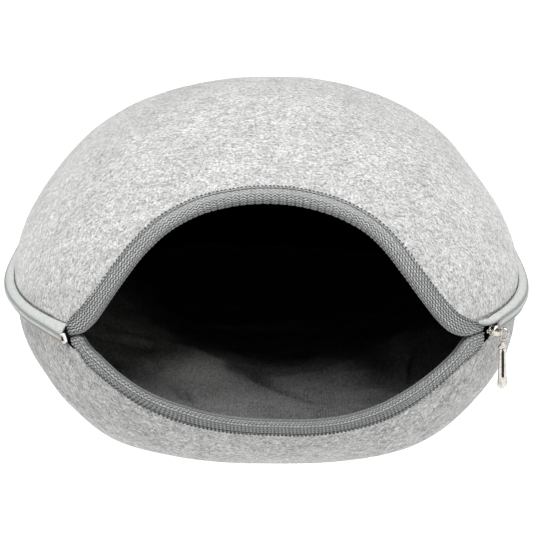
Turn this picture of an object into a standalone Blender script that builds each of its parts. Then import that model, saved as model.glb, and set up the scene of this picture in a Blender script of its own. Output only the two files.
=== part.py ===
"""Zip-round felt cat cave: a domed felt top and a felt bowl joined round their rims by a zip.

The mouth is cut partly from the dome and partly from the bowl, and grey webbing is folded over
both cut edges. A plush cushion lies in the bowl. Front is -Y, +Z is up, and the origin is the
middle of the footprint on the floor. Heights in the tables are measured from the zip line.
"""
import math

import bmesh
import bpy
from mathutils import Matrix, Vector

MM = 0.001

# The felt shells, outer face.
HALF_WIDTH = 213.5 * MM
HALF_DEPTH = 200 * MM
PLAN_POWER = 2.7        # 2 would be an ellipse seen from above, more is squarer
DOME_RISE = 154.5 * MM
DOME_POWER = 1.9        # roundness of the dome's side view
BOWL_DEPTH = 166 * MM
BOWL_POWER = 2.3
ZIP_HEIGHT = 149 * MM   # zip line above the floor; the bowl's curve is pressed flat below it
FLAT_BLEND = 6 * MM     # how softly the flat base turns into the bowl's side
BOWL_LEAN = 6 * MM      # the bowl slumps this far sideways at its base
FELT = 4 * MM

# The zip line dips towards the mouth's corners, where nothing carries the dome.
DIP_LEFT = {"start": 50, "span": 10, "depth": 2.8 * MM}
DIP_RIGHT = {"start": 58, "span": 12, "depth": 6.0 * MM}

# Gaps and sheet thicknesses.
RIM_GAP = 2.0 * MM      # felt rim to zip line
WEBBING = 1.2 * MM
TAPE = 1.2 * MM
WEB_STANDOFF = 1.05 * MM    # felt face to the middle of the webbing
FOLD_STANDOFF = 1.25 * MM   # felt rim to the middle of the webbing's fold

# Rows along the dome's mouth, left corner to right corner.
# felt rim: azimuth from the front and height; webbing's far edge: azimuth and height (deg, mm)
ARCH = (
    (-41.5, 0.1, -42.7, 3.4),
    (-39.3, 0.3, -41.6, 9.0),
    (-37.6, 5.0, -40.6, 13.5),
    (-35.8, 13.0, -39.3, 19.5),
    (-33.0, 32.0, -36.9, 34.5),
    (-30.5, 50.0, -34.0, 53.5),
    (-27.5, 64.5, -31.4, 70.0),
    (-23.5, 78.5, -27.4, 87.0),
    (-17.5, 89.5, -20.0, 99.5),
    (-9.0, 95.0, -10.0, 105.0),
    (0.0, 96.5, 0.2, 107.0),
    (9.0, 94.8, 10.0, 105.4),
    (17.5, 89.0, 19.6, 98.6),
    (23.5, 78.8, 27.0, 87.8),
    (27.2, 66.8, 31.2, 71.5),
    (30.3, 50.5, 34.4, 50.0),
    (33.3, 32.5, 37.4, 32.5),
    (36.3, 15.5, 40.2, 16.8),
    (39.2, 3.2, 42.9, 8.0),
    (42.6, -3.4, 45.4, 3.0),
    (47.0, -3.4, 47.8, -0.2),
)
# Rows along the bowl's lip, the same columns.
LIP = (
    (-40.6, -5.0, -42.2, -11.5),
    (-38.6, -6.6, -40.7, -14.4),
    (-35.4, -18.5, -37.6, -24.0),
    (-31.0, -32.0, -33.6, -38.5),
    (-26.0, -45.0, -28.6, -54.0),
    (-20.0, -54.5, -21.6, -69.0),
    (-13.0, -62.3, -13.8, -77.6),
    (-5.5, -66.0, -5.8, -81.2),
    (2.0, -66.8, 2.1, -82.0),
    (9.5, -66.0, 10.0, -80.4),
    (17.0, -63.3, 18.0, -76.8),
    (24.0, -56.2, 25.6, -69.4),
    (30.5, -44.2, 32.6, -56.6),
    (36.0, -29.5, 38.6, -38.5),
    (40.4, -17.5, 43.2, -27.6),
    (43.8, -8.9, 46.6, -21.0),
    (48.2, -8.7, 49.3, -17.4),
)

# Section of each zip tape: outward from the felt face, and height from the zip line (mm).
UPPER_TAPE = ((1.05, 4.6), (2.4, 3.9), (4.8, 2.8), (7.0, 1.7), (8.4, 1.0))
LOWER_TAPE = ((8.4, -1.0), (7.4, -2.4), (5.0, -5.2), (2.6, -8.2), (1.05, -10.0))
TAPE_START = 51.6       # azimuth of the tapes' end beside the slider
TAPE_END = 316.7        # and beside the zip's box, counted on round the back

# Mesh density, and the angles from the pole at which the shells' rows lie.
MOUTH_COLUMNS = 26
BACK_COLUMNS = 38
HEM_ROWS = 2
DOME_ROWS = 8
BOWL_SIDE_ROWS = 4
BOWL_BASE_ANGLES = [math.radians(a) for a in (0, 12, 22.5, 27, 32.3)]
ARC_STEP = math.radians(30)     # one chord of a round outline

# Zip hardware, in a frame that stands on the felt face: along the zip, outward, up.
SLIDER_AZIMUTH = 49.7
SLIDER_HEIGHT = -5.6 * MM
SLIDER_BODY = (11 * MM, 5.4 * MM, 9.6 * MM)
SLIDER_EDGE = 1.2 * MM
SLIDER_FACE = 8.3 * MM          # outward reach of the slider's top plate
BRIDGE_REACH = 12.9 * MM        # outward reach of its bridge, middle of the strap
BRIDGE_SPAN = 7.4 * MM
BRIDGE_STRAP = (1.2 * MM, 4.0 * MM)
BRIDGE_SUNK = 0.4 * MM          # how deep the bridge's feet go into the top plate
RING_CENTRE = 14.4 * MM
RING_RADIUS = 4.65 * MM
RING_WIRE = 0.6 * MM
RING_STEPS = 24

# Pull tab, from the top of its eye down. Sides: distance down and half width (mm).
TAB_LENGTH = 45 * MM
TAB_THICKNESS = 1.8 * MM
TAB_TURN = -26                  # degrees that the tab has turned from the slider's own direction
TAB_HANG = 0.8 * MM             # slack between the ring's wire and the eye
TAB_SIDES = ((5.0, 1.4), (6.4, 1.2), (7.6, 3.3), (9.6, 3.3), (10.4, 2.8), (24, 3.2), (36, 3.9))
TAB_END_RADIUS = 4.3 * MM
EYE_OUTER = 2.6 * MM
EYE_INNER = 1.7 * MM
EYE_OPENS = math.radians(42)    # half angle at the bottom of the eye where the neck leaves it
SLOT_HALF = 1.15 * MM
SLOT_TOP = 11.5 * MM
SLOT_END = 35 * MM

# The box at the zip's other end, with a slot in its face.
BOX_AZIMUTH = -42.0
BOX_HEIGHT = -5.6 * MM
BOX_SIZE = (5.0 * MM, 3.0 * MM, 8.0 * MM)
BOX_EDGE = 0.6 * MM
BOX_OUT = 5.2 * MM              # the felt face to the middle of the box
BOX_SLOT = (1.5 * MM, 1.4 * MM, 4.2 * MM)
BOX_SLOT_EDGE = 0.2 * MM

# The cushion lies on the bowl's inner face and curls up its sides.
CUSHION_CLEAR = 3.4 * MM
CUSHION_FLOOR_GAP = 0.4 * MM
CUSHION_THICK = 45 * MM
CUSHION_RESTS = math.radians(16)    # angle from the bowl's pole within which it lies on the base
CUSHION_LIFTS = math.radians(22)    # and past which it stands clear of the curved side
CUSHION_RIM = {"front": 70, "left": 98, "back": 92, "right": 80}   # rim heights above the floor, mm
CUSHION_SEGMENTS = 36
CUSHION_RINGS = 16


def plan_radius(azimuth):
    """Distance of the felt face from the middle, seen from above, at the zip line."""
    angle = math.radians(azimuth)
    across = abs(math.sin(angle)) / HALF_WIDTH
    along = abs(math.cos(angle)) / HALF_DEPTH
    return (across ** PLAN_POWER + along ** PLAN_POWER) ** (-1 / PLAN_POWER)


def smooth(t):
    t = min(max(t, 0.0), 1.0)
    return t * t * (3 - 2 * t)


def zip_line(azimuth):
    """Height of the zip line at an azimuth, from its level at the back."""
    azimuth = (azimuth + 180) % 360 - 180
    dip = DIP_RIGHT if azimuth > 0 else DIP_LEFT
    return -dip["depth"] * smooth((dip["start"] - abs(azimuth)) / dip["span"])


def angle_at(height):
    """Angle from the pole at which a shell's side view reaches a height above or below the zip."""
    if height >= 0:
        return math.acos((height / DOME_RISE) ** (DOME_POWER / 2))
    return math.acos((-height / BOWL_DEPTH) ** (BOWL_POWER / 2))


def press_flat(depth):
    """The bowl's depth below the zip line after its bottom is pressed flat on the floor."""
    over = depth - (ZIP_HEIGHT - FLAT_BLEND)
    if over <= 0:
        return depth
    if over >= 2 * FLAT_BLEND:
        return ZIP_HEIGHT
    return depth - over * over / (4 * FLAT_BLEND)


def dome_face(azimuth, angle):
    reach = plan_radius(azimuth) * math.sin(angle) ** (2 / DOME_POWER)
    rise = DOME_RISE * max(math.cos(angle), 0.0) ** (2 / DOME_POWER)
    turn = math.radians(azimuth)
    return Vector((reach * math.sin(turn), -reach * math.cos(turn), ZIP_HEIGHT + rise))


def bowl_face(azimuth, angle):
    reach = plan_radius(azimuth) * math.sin(angle) ** (2 / BOWL_POWER)
    depth = BOWL_DEPTH * max(math.cos(angle), 0.0) ** (2 / BOWL_POWER)
    lean = BOWL_LEAN * depth / BOWL_DEPTH
    turn = math.radians(azimuth)
    return Vector((reach * math.sin(turn) + lean, -reach * math.cos(turn), ZIP_HEIGHT - press_flat(depth)))


def felt_at(azimuth, height):
    """Point on the felt's outer face at an azimuth and a height from the zip line."""
    face = dome_face if height >= 0 else bowl_face
    return face(azimuth, angle_at(height))


def outward(point):
    """Direction straight out of the felt at a point on its outer face."""
    height = point.z - ZIP_HEIGHT
    power, tall = (DOME_POWER, DOME_RISE) if height >= 0 else (BOWL_POWER, BOWL_DEPTH)
    x = point.x - (BOWL_LEAN * -height / BOWL_DEPTH if height < 0 else 0)
    spread = (abs(x) / HALF_WIDTH) ** PLAN_POWER + (abs(point.y) / HALF_DEPTH) ** PLAN_POWER
    flank = spread ** (power / PLAN_POWER - 1)
    normal = Vector((
        flank * abs(x) ** (PLAN_POWER - 1) / HALF_WIDTH ** PLAN_POWER * math.copysign(1, x),
        flank * abs(point.y) ** (PLAN_POWER - 1) / HALF_DEPTH ** PLAN_POWER * math.copysign(1, point.y),
        abs(height) ** (power - 1) / tall ** power * math.copysign(1, height),
    ))
    return normal.normalized()


def along_rows(rows, t):
    """A smooth curve through a table's rows: its columns at t from 0, first row, to 1, last row."""
    place = t * (len(rows) - 1)
    i = min(int(place), len(rows) - 2)
    f = place - i
    before, start, end, after = (rows[min(max(i + k, 0), len(rows) - 1)] for k in (-1, 0, 1, 2))
    return [
        0.5 * (2 * b + (c - a) * f + (2 * a - 5 * b + 4 * c - d) * f ** 2 + (3 * b - a - 3 * c + d) * f ** 3)
        for a, b, c, d in zip(before, start, end, after)
    ]


def rim_stations(table, side):
    """Stations round a shell's whole rim: the mouth's rows, then the zip round the back."""
    stations = []
    for i in range(MOUTH_COLUMNS + 1):
        rim_azimuth, rim_height, hem_azimuth, hem_height = along_rows(table, i / MOUTH_COLUMNS)
        stations.append((rim_azimuth, rim_height * MM, hem_azimuth, hem_height * MM))
    tape = UPPER_TAPE[0] if side > 0 else LOWER_TAPE[-1]
    for column in range(BACK_COLUMNS + 1):
        azimuth = tape_azimuth(column)
        level = zip_line(azimuth)
        stations.append((azimuth, level + side * RIM_GAP, azimuth, level + tape[1] * MM))
    stations.append(stations[0])
    return stations


def tape_azimuth(column):
    return TAPE_START + (TAPE_END - TAPE_START) * column / BACK_COLUMNS


def new_material(name, color, roughness, metallic=0.0):
    material = bpy.data.materials.new(name)
    material.use_nodes = True
    shader = material.node_tree.nodes["Principled BSDF"]
    shader.inputs["Base Color"].default_value = (*color, 1)
    shader.inputs["Roughness"].default_value = roughness
    shader.inputs["Metallic"].default_value = metallic
    return material


def new_object(name, bm, material, smooth_angle=50):
    mesh = bpy.data.meshes.new(name)
    bm.to_mesh(mesh)
    bm.free()
    mesh.shade_smooth()
    mesh.set_sharp_from_angle(angle=math.radians(smooth_angle))
    mesh.materials.append(material)
    thing = bpy.data.objects.new(name, mesh)
    cave.objects.link(thing)
    return thing


def warped_grid(columns, rows, place):
    """A grid whose vertices are moved to place(column, row), with doubled edges and poles merged."""
    bm = bmesh.new()
    bmesh.ops.create_grid(bm, x_segments=columns, y_segments=rows, size=1)
    for vertex in bm.verts:
        column = round((vertex.co.x + 1) / 2 * columns)
        row = round((vertex.co.y + 1) / 2 * rows)
        vertex.co = place(column, row)
    bmesh.ops.remove_doubles(bm, verts=bm.verts, dist=0.00001)
    return bm


def thicken(thing, thickness, offset):
    solidify = thing.modifiers.new("Thickness", "SOLIDIFY")
    solidify.thickness = thickness
    solidify.offset = offset
    solidify.use_even_offset = True
    return thing


def dome_angles(hem_angle):
    return [hem_angle * row / DOME_ROWS for row in range(DOME_ROWS + 1)]


def bowl_angles(hem_angle):
    last = BOWL_BASE_ANGLES[-1]
    side = [last + (hem_angle - last) * (row + 1) / BOWL_SIDE_ROWS for row in range(BOWL_SIDE_ROWS)]
    return BOWL_BASE_ANGLES + side


def felt_shell(name, table, side, face, angles, material):
    """One felt shell: a grid from its pole to its rim, a felt's thickness deep.

    angles gives each row's angle from the pole, up to a hem line at a given angle.
    """
    stations = rim_stations(table, side)

    def place(column, row):
        rim_azimuth, rim_height, hem_azimuth, hem_height = stations[column]
        rows = angles(angle_at(hem_height))
        if row < len(rows):
            return face(hem_azimuth, rows[row])
        t = (row - len(rows) + 1) / HEM_ROWS
        return felt_at(hem_azimuth + (rim_azimuth - hem_azimuth) * t, hem_height + (rim_height - hem_height) * t)

    row_count = len(angles(math.radians(90))) - 1 + HEM_ROWS
    bm = warped_grid(len(stations) - 1, row_count, place)
    if side > 0:
        bmesh.ops.reverse_faces(bm, faces=bm.faces)
    return thicken(new_object(name, bm, material), FELT, -1)


def rim_and_beyond(table, t, side):
    """The felt's rim at t along a mouth table, and the way out of the felt there, into the mouth."""
    step = 0.01
    before, rim, after = (felt_at(a, h * MM) for a, h, _, _ in (
        along_rows(table, place) for place in (max(t - step, 0), t, min(t + step, 1))))
    return rim, (after - before).cross(outward(rim)).normalized() * side


def folded_webbing(name, table, side, material):
    """Webbing folded over a mouth edge: outer leg, the turn round the felt's rim, inner leg."""
    leg = (1.0, 0.5, 0.0)
    turn = ((0.72, 0.72), (1.0, 0.0))

    def place(column, row):
        rim_azimuth, rim_height, hem_azimuth, hem_height = along_rows(table, column / MOUTH_COLUMNS)
        last = len(leg) * 2 + len(turn) * 2 - 1
        inner = row > last / 2
        step = last - row if inner else row
        depth = FELT if inner else 0.0
        sign = -1 if inner else 1
        if step < len(leg):
            t = leg[step]
            base = felt_at(rim_azimuth + (hem_azimuth - rim_azimuth) * t,
                           (rim_height + (hem_height - rim_height) * t) * MM)
            return base + outward(base) * (sign * WEB_STANDOFF - depth)
        across, lift = turn[step - len(leg)]
        rim, beyond = rim_and_beyond(table, column / MOUTH_COLUMNS, side)
        return rim + beyond * FOLD_STANDOFF * across + outward(rim) * (sign * WEB_STANDOFF * lift - depth)

    bm = warped_grid(MOUTH_COLUMNS, len(leg) * 2 + len(turn) * 2 - 1, place)
    if side > 0:
        bmesh.ops.reverse_faces(bm, faces=bm.faces)
    return thicken(new_object(name, bm, material), WEBBING, 0)


def zip_tape(name, section, material):
    """One zip tape, from the felt out to the ridge where the two tapes meet."""
    def place(column, row):
        azimuth = tape_azimuth(column)
        out, height = section[row]
        base = felt_at(azimuth, zip_line(azimuth) + height * MM)
        level = outward(base)
        level.z = 0
        return base + level.normalized() * out * MM

    bm = warped_grid(BACK_COLUMNS, len(section) - 1, place)
    bmesh.ops.reverse_faces(bm, faces=bm.faces)
    return thicken(new_object(name, bm, material), TAPE, 0)


def cushion(material):
    """The cushion: its underside follows the bowl's inner face, and its top is a soft dish."""
    bm = bmesh.new()
    bmesh.ops.create_uvsphere(bm, u_segments=CUSHION_SEGMENTS, v_segments=CUSHION_RINGS, radius=1)
    for vertex in bm.verts:
        latitude = math.asin(min(max(vertex.co.z, -1.0), 1.0))
        azimuth = math.degrees(math.atan2(vertex.co.x, -vertex.co.y))
        spread = math.cos(latitude) if abs(vertex.co.z) < 0.9999 else 0.0
        vertex.co = cushion_point(azimuth, spread, math.sin(latitude) > 0.0001)
    return new_object("cushion", bm, material)


def cushion_rim(azimuth):
    turn = math.radians(azimuth)
    front, back = CUSHION_RIM["front"], CUSHION_RIM["back"]
    left, right = CUSHION_RIM["left"], CUSHION_RIM["right"]
    along = front if math.cos(turn) > 0 else back
    across = right if math.sin(turn) > 0 else left
    return (along * math.cos(turn) ** 2 + across * math.sin(turn) ** 2) * MM


def cushion_point(azimuth, spread, is_top):
    """A point on the cushion at a spread from 0, its middle, to 1, its rim."""
    angle = angle_at(cushion_rim(azimuth) - ZIP_HEIGHT) * spread
    base = bowl_face(azimuth, angle)
    level = smooth((CUSHION_LIFTS - angle) / (CUSHION_LIFTS - CUSHION_RESTS))
    inward = Vector((0, 0, level)) - outward(base) * (1 - level)
    gap = CUSHION_CLEAR + (CUSHION_FLOOR_GAP - CUSHION_CLEAR) * level
    body = CUSHION_THICK * math.sqrt(max(1 - spread ** 4, 0.0)) if is_top else 0.0
    return base + inward.normalized() * (FELT + gap + body)


def stand_on_felt(azimuth, height):
    """Frame on the felt face: X along the zip, Y outward, Z up."""
    origin = felt_at(azimuth, height)
    turn = math.radians(azimuth)
    out = Vector((math.sin(turn), -math.cos(turn), 0))
    along = out.cross(Vector((0, 0, 1)))
    frame = Matrix((along, out, Vector((0, 0, 1)))).transposed().to_4x4()
    frame.translation = origin
    return frame


def rounded_box(size, edge, segments=2):
    bm = bmesh.new()
    bmesh.ops.create_cube(bm, size=1, matrix=Matrix.Diagonal((*size, 1)))
    bmesh.ops.bevel(bm, geom=bm.edges, offset=edge, segments=segments, profile=0.5, affect="EDGES",
                    material=-1)
    return bm


def join_by_boolean(thing, other, operation):
    modifier = thing.modifiers.new(operation.title(), "BOOLEAN")
    modifier.operation = operation
    modifier.object = other
    other.hide_render = True
    other.display_type = "WIRE"
    cave.objects.unlink(other)
    cutters.objects.link(other)


def slider(material):
    """The slider: a rounded body with a strap bridge, standing outward at the zip's end."""
    frame = stand_on_felt(SLIDER_AZIMUTH, SLIDER_HEIGHT)
    body = new_object("zip_slider", rounded_box(SLIDER_BODY, SLIDER_EDGE), material)
    body.matrix_world = frame @ Matrix.Translation((0, SLIDER_FACE - SLIDER_BODY[1] / 2, 0))

    strap, wide = BRIDGE_STRAP
    bm = bmesh.new()
    foot = Matrix.Translation((BRIDGE_SPAN / 2, 0, 0)) @ Matrix.Rotation(math.radians(90), 4, "X")
    bmesh.ops.create_grid(bm, x_segments=1, y_segments=1, size=0.5,
                          matrix=foot @ Matrix.Diagonal((strap, wide, 1, 1)))
    bmesh.ops.spin(bm, geom=list(bm.faces), cent=(0, 0, 0), axis=(0, 0, 1), dvec=(0, 0, 0),
                   angle=math.pi, steps=10, use_merge=False)
    bmesh.ops.recalc_face_normals(bm, faces=bm.faces)
    bmesh.ops.scale(bm, verts=bm.verts, vec=(1, (BRIDGE_REACH - SLIDER_FACE) / (BRIDGE_SPAN / 2), 1))
    bridge = new_object("bridge_strap", bm, material)
    bridge.matrix_world = frame @ Matrix.Translation((0, SLIDER_FACE - BRIDGE_SUNK, 0))
    join_by_boolean(body, bridge, "UNION")
    return body


def pull_ring(material):
    curve = bpy.data.curves.new("pull_ring", "CURVE")
    curve.dimensions = "3D"
    spline = curve.splines.new("POLY")
    spline.points.add(RING_STEPS - 1)
    for i, point in enumerate(spline.points):
        turn = 2 * math.pi * i / RING_STEPS
        point.co = (0, RING_RADIUS * math.cos(turn), RING_RADIUS * math.sin(turn), 1)
    spline.use_cyclic_u = True
    curve.bevel_depth = RING_WIRE
    curve.bevel_resolution = 2
    curve.materials.append(material)
    ring = bpy.data.objects.new("pull_ring", curve)
    cave.objects.link(ring)
    ring.matrix_world = stand_on_felt(SLIDER_AZIMUTH, SLIDER_HEIGHT) @ Matrix.Translation((0, RING_CENTRE, 0))
    return ring


def pull_tab(material):
    """The pull tab: an eye round the ring, a narrow neck, a slotted bar and a round end."""
    outline = bpy.data.curves.new("pull_tab", "CURVE")
    outline.dimensions = "2D"
    outline.fill_mode = "BOTH"
    outline.extrude = TAB_THICKNESS / 2
    down = math.radians(-90)
    left = [(-half * MM, -distance * MM) for distance, half in TAB_SIDES]
    right = [(-x, y) for x, y in reversed(left)]
    eye = arc(-EYE_OUTER, EYE_OUTER, down + EYE_OPENS, down + 2 * math.pi - EYE_OPENS)
    end = arc(TAB_END_RADIUS - TAB_LENGTH, TAB_END_RADIUS, math.pi, 2 * math.pi)
    add_loop(outline, eye + left + end + right)
    add_loop(outline, arc(-EYE_OUTER, EYE_INNER, 0, 2 * math.pi - ARC_STEP))
    add_loop(outline, arc(-SLOT_TOP, SLOT_HALF, 0, math.pi) + arc(-SLOT_END, SLOT_HALF, math.pi, 2 * math.pi))
    outline.materials.append(material)
    tab = bpy.data.objects.new("pull_tab", outline)
    cave.objects.link(tab)
    eye_top = -RING_RADIUS + RING_WIRE + TAB_HANG + EYE_OUTER - EYE_INNER
    place = stand_on_felt(SLIDER_AZIMUTH, SLIDER_HEIGHT) @ Matrix.Translation((0, RING_CENTRE, eye_top))
    upright = Matrix.Rotation(math.radians(90), 4, "X")
    tab.matrix_world = place @ Matrix.Rotation(math.radians(TAB_TURN), 4, "Z") @ upright
    return tab


def arc(centre_y, radius, start, end):
    """Points round an arc whose centre is on the outline's own Y axis."""
    steps = round(abs(end - start) / ARC_STEP)
    turns = (start + (end - start) * i / steps for i in range(steps + 1))
    return [(radius * math.cos(turn), centre_y + radius * math.sin(turn)) for turn in turns]


def add_loop(curve, points):
    spline = curve.splines.new("POLY")
    spline.points.add(len(points) - 1)
    for point, (x, y) in zip(spline.points, points):
        point.co = (x, y, 0, 1)
    spline.use_cyclic_u = True


def zip_box(material):
    frame = stand_on_felt(BOX_AZIMUTH, BOX_HEIGHT)
    box = new_object("zip_box", rounded_box(BOX_SIZE, BOX_EDGE, segments=1), material)
    box.matrix_world = frame @ Matrix.Translation((0, BOX_OUT, 0))
    slot = new_object("box_slot", rounded_box(BOX_SLOT, BOX_SLOT_EDGE, segments=1), material)
    slot.matrix_world = frame @ Matrix.Translation((0, BOX_OUT + BOX_SIZE[1] / 2, 0))
    join_by_boolean(box, slot, "DIFFERENCE")
    return box


for thing in list(bpy.data.objects):
    bpy.data.objects.remove(thing)
cave = bpy.data.collections.new("felt_cat_cave")
cutters = bpy.data.collections.new("cutters")
for collection in (cave, cutters):
    bpy.context.scene.collection.children.link(collection)

felt = new_material("felt", (0.68, 0.68, 0.67), 0.95)
webbing = new_material("webbing", (0.27, 0.28, 0.27), 0.7)
tape = new_material("zip_tape", (0.55, 0.55, 0.54), 0.6)
plush = new_material("plush", (0.05, 0.05, 0.05), 0.95)
nickel = new_material("nickel", (0.62, 0.59, 0.55), 0.25, metallic=1.0)

felt_shell("dome_felt", ARCH, 1, dome_face, dome_angles, felt)
felt_shell("bowl_felt", LIP, -1, bowl_face, bowl_angles, felt)
folded_webbing("arch_binding", ARCH, 1, webbing)
folded_webbing("lip_binding", LIP, -1, webbing)
zip_tape("zip_tape_upper", UPPER_TAPE, tape)
zip_tape("zip_tape_lower", LOWER_TAPE, tape)
cushion(plush)
slider(nickel)
pull_ring(nickel)
pull_tab(nickel)
zip_box(nickel)
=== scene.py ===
"""Looks for the felt cat cave: needled felt, bound mouth, zip and plush cushion.

Front is -Y, +Z is up. Every piece is built from the same design sizes as the solids. A place on the
felt is given as an azimuth from the front, to the right, and a height from the zip line. The tables
below hold the chosen shape of each edge: degrees and millimetres, unless a comment says otherwise.
"""
import math
import random

import bmesh
import bpy
from mathutils import Matrix, Vector, noise


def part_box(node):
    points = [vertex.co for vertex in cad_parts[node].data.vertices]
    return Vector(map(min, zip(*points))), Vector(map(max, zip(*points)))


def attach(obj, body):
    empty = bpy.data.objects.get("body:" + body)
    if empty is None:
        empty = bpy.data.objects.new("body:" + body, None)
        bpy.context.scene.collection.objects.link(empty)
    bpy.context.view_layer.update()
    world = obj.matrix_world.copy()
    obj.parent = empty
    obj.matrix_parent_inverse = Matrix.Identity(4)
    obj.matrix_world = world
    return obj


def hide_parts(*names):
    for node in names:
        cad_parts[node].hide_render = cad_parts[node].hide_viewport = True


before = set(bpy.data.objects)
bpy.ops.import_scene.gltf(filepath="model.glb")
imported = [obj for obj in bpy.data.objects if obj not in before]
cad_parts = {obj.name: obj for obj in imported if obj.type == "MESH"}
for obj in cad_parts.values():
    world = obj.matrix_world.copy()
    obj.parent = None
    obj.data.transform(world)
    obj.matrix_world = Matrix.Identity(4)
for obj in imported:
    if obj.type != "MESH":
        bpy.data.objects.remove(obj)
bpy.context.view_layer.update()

MM = 0.001

# The felt shells, outer face, as the solids have them.
_, dome_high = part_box("dome_felt")
ZIP_HEIGHT = 149 * MM
HALF_WIDTH = 213.5 * MM
HALF_DEPTH = dome_high.y
DOME_RISE = dome_high.z - ZIP_HEIGHT
PLAN_POWER = 2.7
DOME_POWER = 1.9
BOWL_DEPTH = 166 * MM
BOWL_POWER = 2.3
FLAT_BLEND = 6 * MM         # height over which the bowl rounds into its flat base
BOWL_LEAN = 6 * MM          # how far the bowl's base lies to the right
FELT = 4 * MM
# The zip line's dips at the mouth's corners: from where, over what span (deg) and how deep.
DIP_LEFT = {"start": 50, "span": 10, "depth": 2.8 * MM}
DIP_RIGHT = {"start": 58, "span": 12, "depth": 6.0 * MM}
RIM_GAP = 2.0 * MM          # from the zip line to each shell's rim
WEBBING = 1.2 * MM
WEB_STANDOFF = 1.05 * MM    # from the felt's face to the webbing's middle

# Rows along the dome's mouth, left corner to right corner.
# felt rim: azimuth from the front and height; webbing's far edge: azimuth and height (deg, mm)
ARCH = (
    (-42.1, -4.0, -42.6, 3.0),
    (-40.7, -1.8, -42.2, 4.8),
    (-39.3, 0.6, -41.7, 7.6),
    (-37.9, 5.2, -40.9, 11.6),
    (-36.1, 13.7, -39.5, 17.5),
    (-33.4, 32.6, -36.6, 33.9),
    (-30.9, 50.8, -34.0, 53.5),
    (-28.4, 66.3, -31.5, 70.1),
    (-24.5, 80.8, -27.3, 86.7),
    (-18.2, 91.6, -19.8, 98.8),
    (-9.4, 97.5, -9.9, 104.4),
    (0.0, 99.2, 0.2, 106.1),
    (9.5, 97.5, 9.9, 104.7),
    (18.3, 91.5, 19.7, 99.1),
    (24.6, 81.4, 27.1, 87.9),
    (28.1, 68.6, 31.4, 71.7),
    (30.8, 51.4, 34.5, 50.0),
    (33.5, 32.9, 37.1, 32.5),
    (36.4, 15.8, 40.4, 16.8),
    (39.3, 3.6, 42.7, 10.1),
    (42.6, -2.6, 45.4, 4.2),
    (45.6, -3.3, 47.0, 3.0),
    (47.5, -3.5, 48.3, 1.5),
)
# Rows along the bowl's lip, the same columns.
LIP = (
    (-41.9, -8.8, -41.5, -12.8),
    (-40.8, -6.9, -40.7, -15.4),
    (-39.5, -5.8, -39.9, -18.6),
    (-38.1, -13.1, -39.1, -22.6),
    (-35.8, -20.2, -38.0, -28.0),
    (-31.5, -34.6, -34.0, -40.3),
    (-26.4, -47.3, -28.9, -54.8),
    (-20.3, -56.6, -21.5, -68.2),
    (-13.2, -64.4, -13.7, -76.1),
    (-5.6, -68.6, -5.8, -79.9),
    (2.0, -69.9, 2.1, -81.3),
    (9.6, -70.1, 10.0, -81.5),
    (17.3, -66.9, 18.1, -77.8),
    (24.3, -58.6, 25.6, -69.8),
    (30.7, -45.6, 32.5, -56.3),
    (36.3, -31.3, 38.5, -38.6),
    (40.7, -19.0, 42.6, -28.0),
    (43.3, -9.6, 45.0, -24.2),
    (45.8, -7.9, 46.4, -21.4),
    (48.2, -8.3, 47.7, -19.4),
)
# Where the felt's rim runs between the zip and the webbing, which leaves a slit open at each corner.
# azimuth and height (deg, mm), zip to mouth on the left and mouth to zip on the right
DOME_LEFT = ((-45.6, 1.4), (-44.2, 1.6), (-43.1, 1.5), (-42.5, 0.0), (-42.0, -2.4))
DOME_RIGHT = ((46.6, -3.2), (47.3, -1.6), (48.2, 0.4), (50.0, 1.0), (52.5, 1.4))
BOWL_LEFT = (
    (-45.4, -4.0), (-44.6, -7.0), (-43.8, -12.0), (-42.6, -14.2), (-41.5, -17.0), (-40.7, -16.0),
    (-40.3, -12.0),
)
BOWL_RIGHT = (
    (46.6, -11.0), (47.0, -17.0), (47.3, -20.8), (48.0, -18.2), (49.0, -16.4), (50.0, -15.0), (51.0, -12.4),
    (52.0, -8.0),
)
# A line on each shell that clears the mouth; the mesh is even up to it. Azimuth and height (deg, mm).
DOME_RING = (
    (-48, 9), (-45, 10), (-43, 14), (-41.5, 24), (-39.5, 34), (-37, 48), (-34, 64), (-30, 84), (-27, 94),
    (-24, 101), (-18, 108), (-9, 113.5), (0, 115), (9, 113.5), (18, 107.5), (25, 98), (30, 84), (33.5, 66),
    (37, 48), (39.5, 36), (42, 25), (44.5, 15), (47.5, 10), (52, 9),
)
BOWL_RING = (
    (-48, -9), (-45.5, -13), (-43.5, -22), (-41, -29), (-38, -37), (-34, -50), (-29, -65), (-22, -78),
    (-14, -86), (-6, -89.5), (2, -90.5), (10, -89), (18, -85), (26, -78), (33, -66), (39, -51), (43, -40),
    (46.5, -33), (49.5, -31), (52, -24), (54.5, -12), (58, -9),
)
# The stretch of the rim, round the back, where the zip joins the shells (deg).
ZIP_FROM = 54.0
ZIP_TO = 313.5

# Fullness of the felt away from its design curve.
# azimuth, height, spread in azimuth, spread in height, outward (deg, mm, deg, mm, mm)
SWELLS = (
    (98, 70, 38, 28, -4.1),
    (-100, 68, 40, 24, -1.6),
    (-128, 138, 26, 16, -1.5),
    (180, 148, 60, 14, -0.8),
    (0, -137, 40, 14, -1.3),
    (-60, -70, 14, 16, -1.8),
    (-50, -122, 11, 20, 3.2),
    (57, -86, 16, 20, -1.9),
    (48, -122, 13, 16, 1.6),
)
# A pucker in the bowl's felt, from the right slit downwards: azimuth and height (deg, mm).
PUCKER = ((48.0, -23.0), (47.0, -30.0), (45.0, -40.0), (42.0, -50.0))

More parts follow.
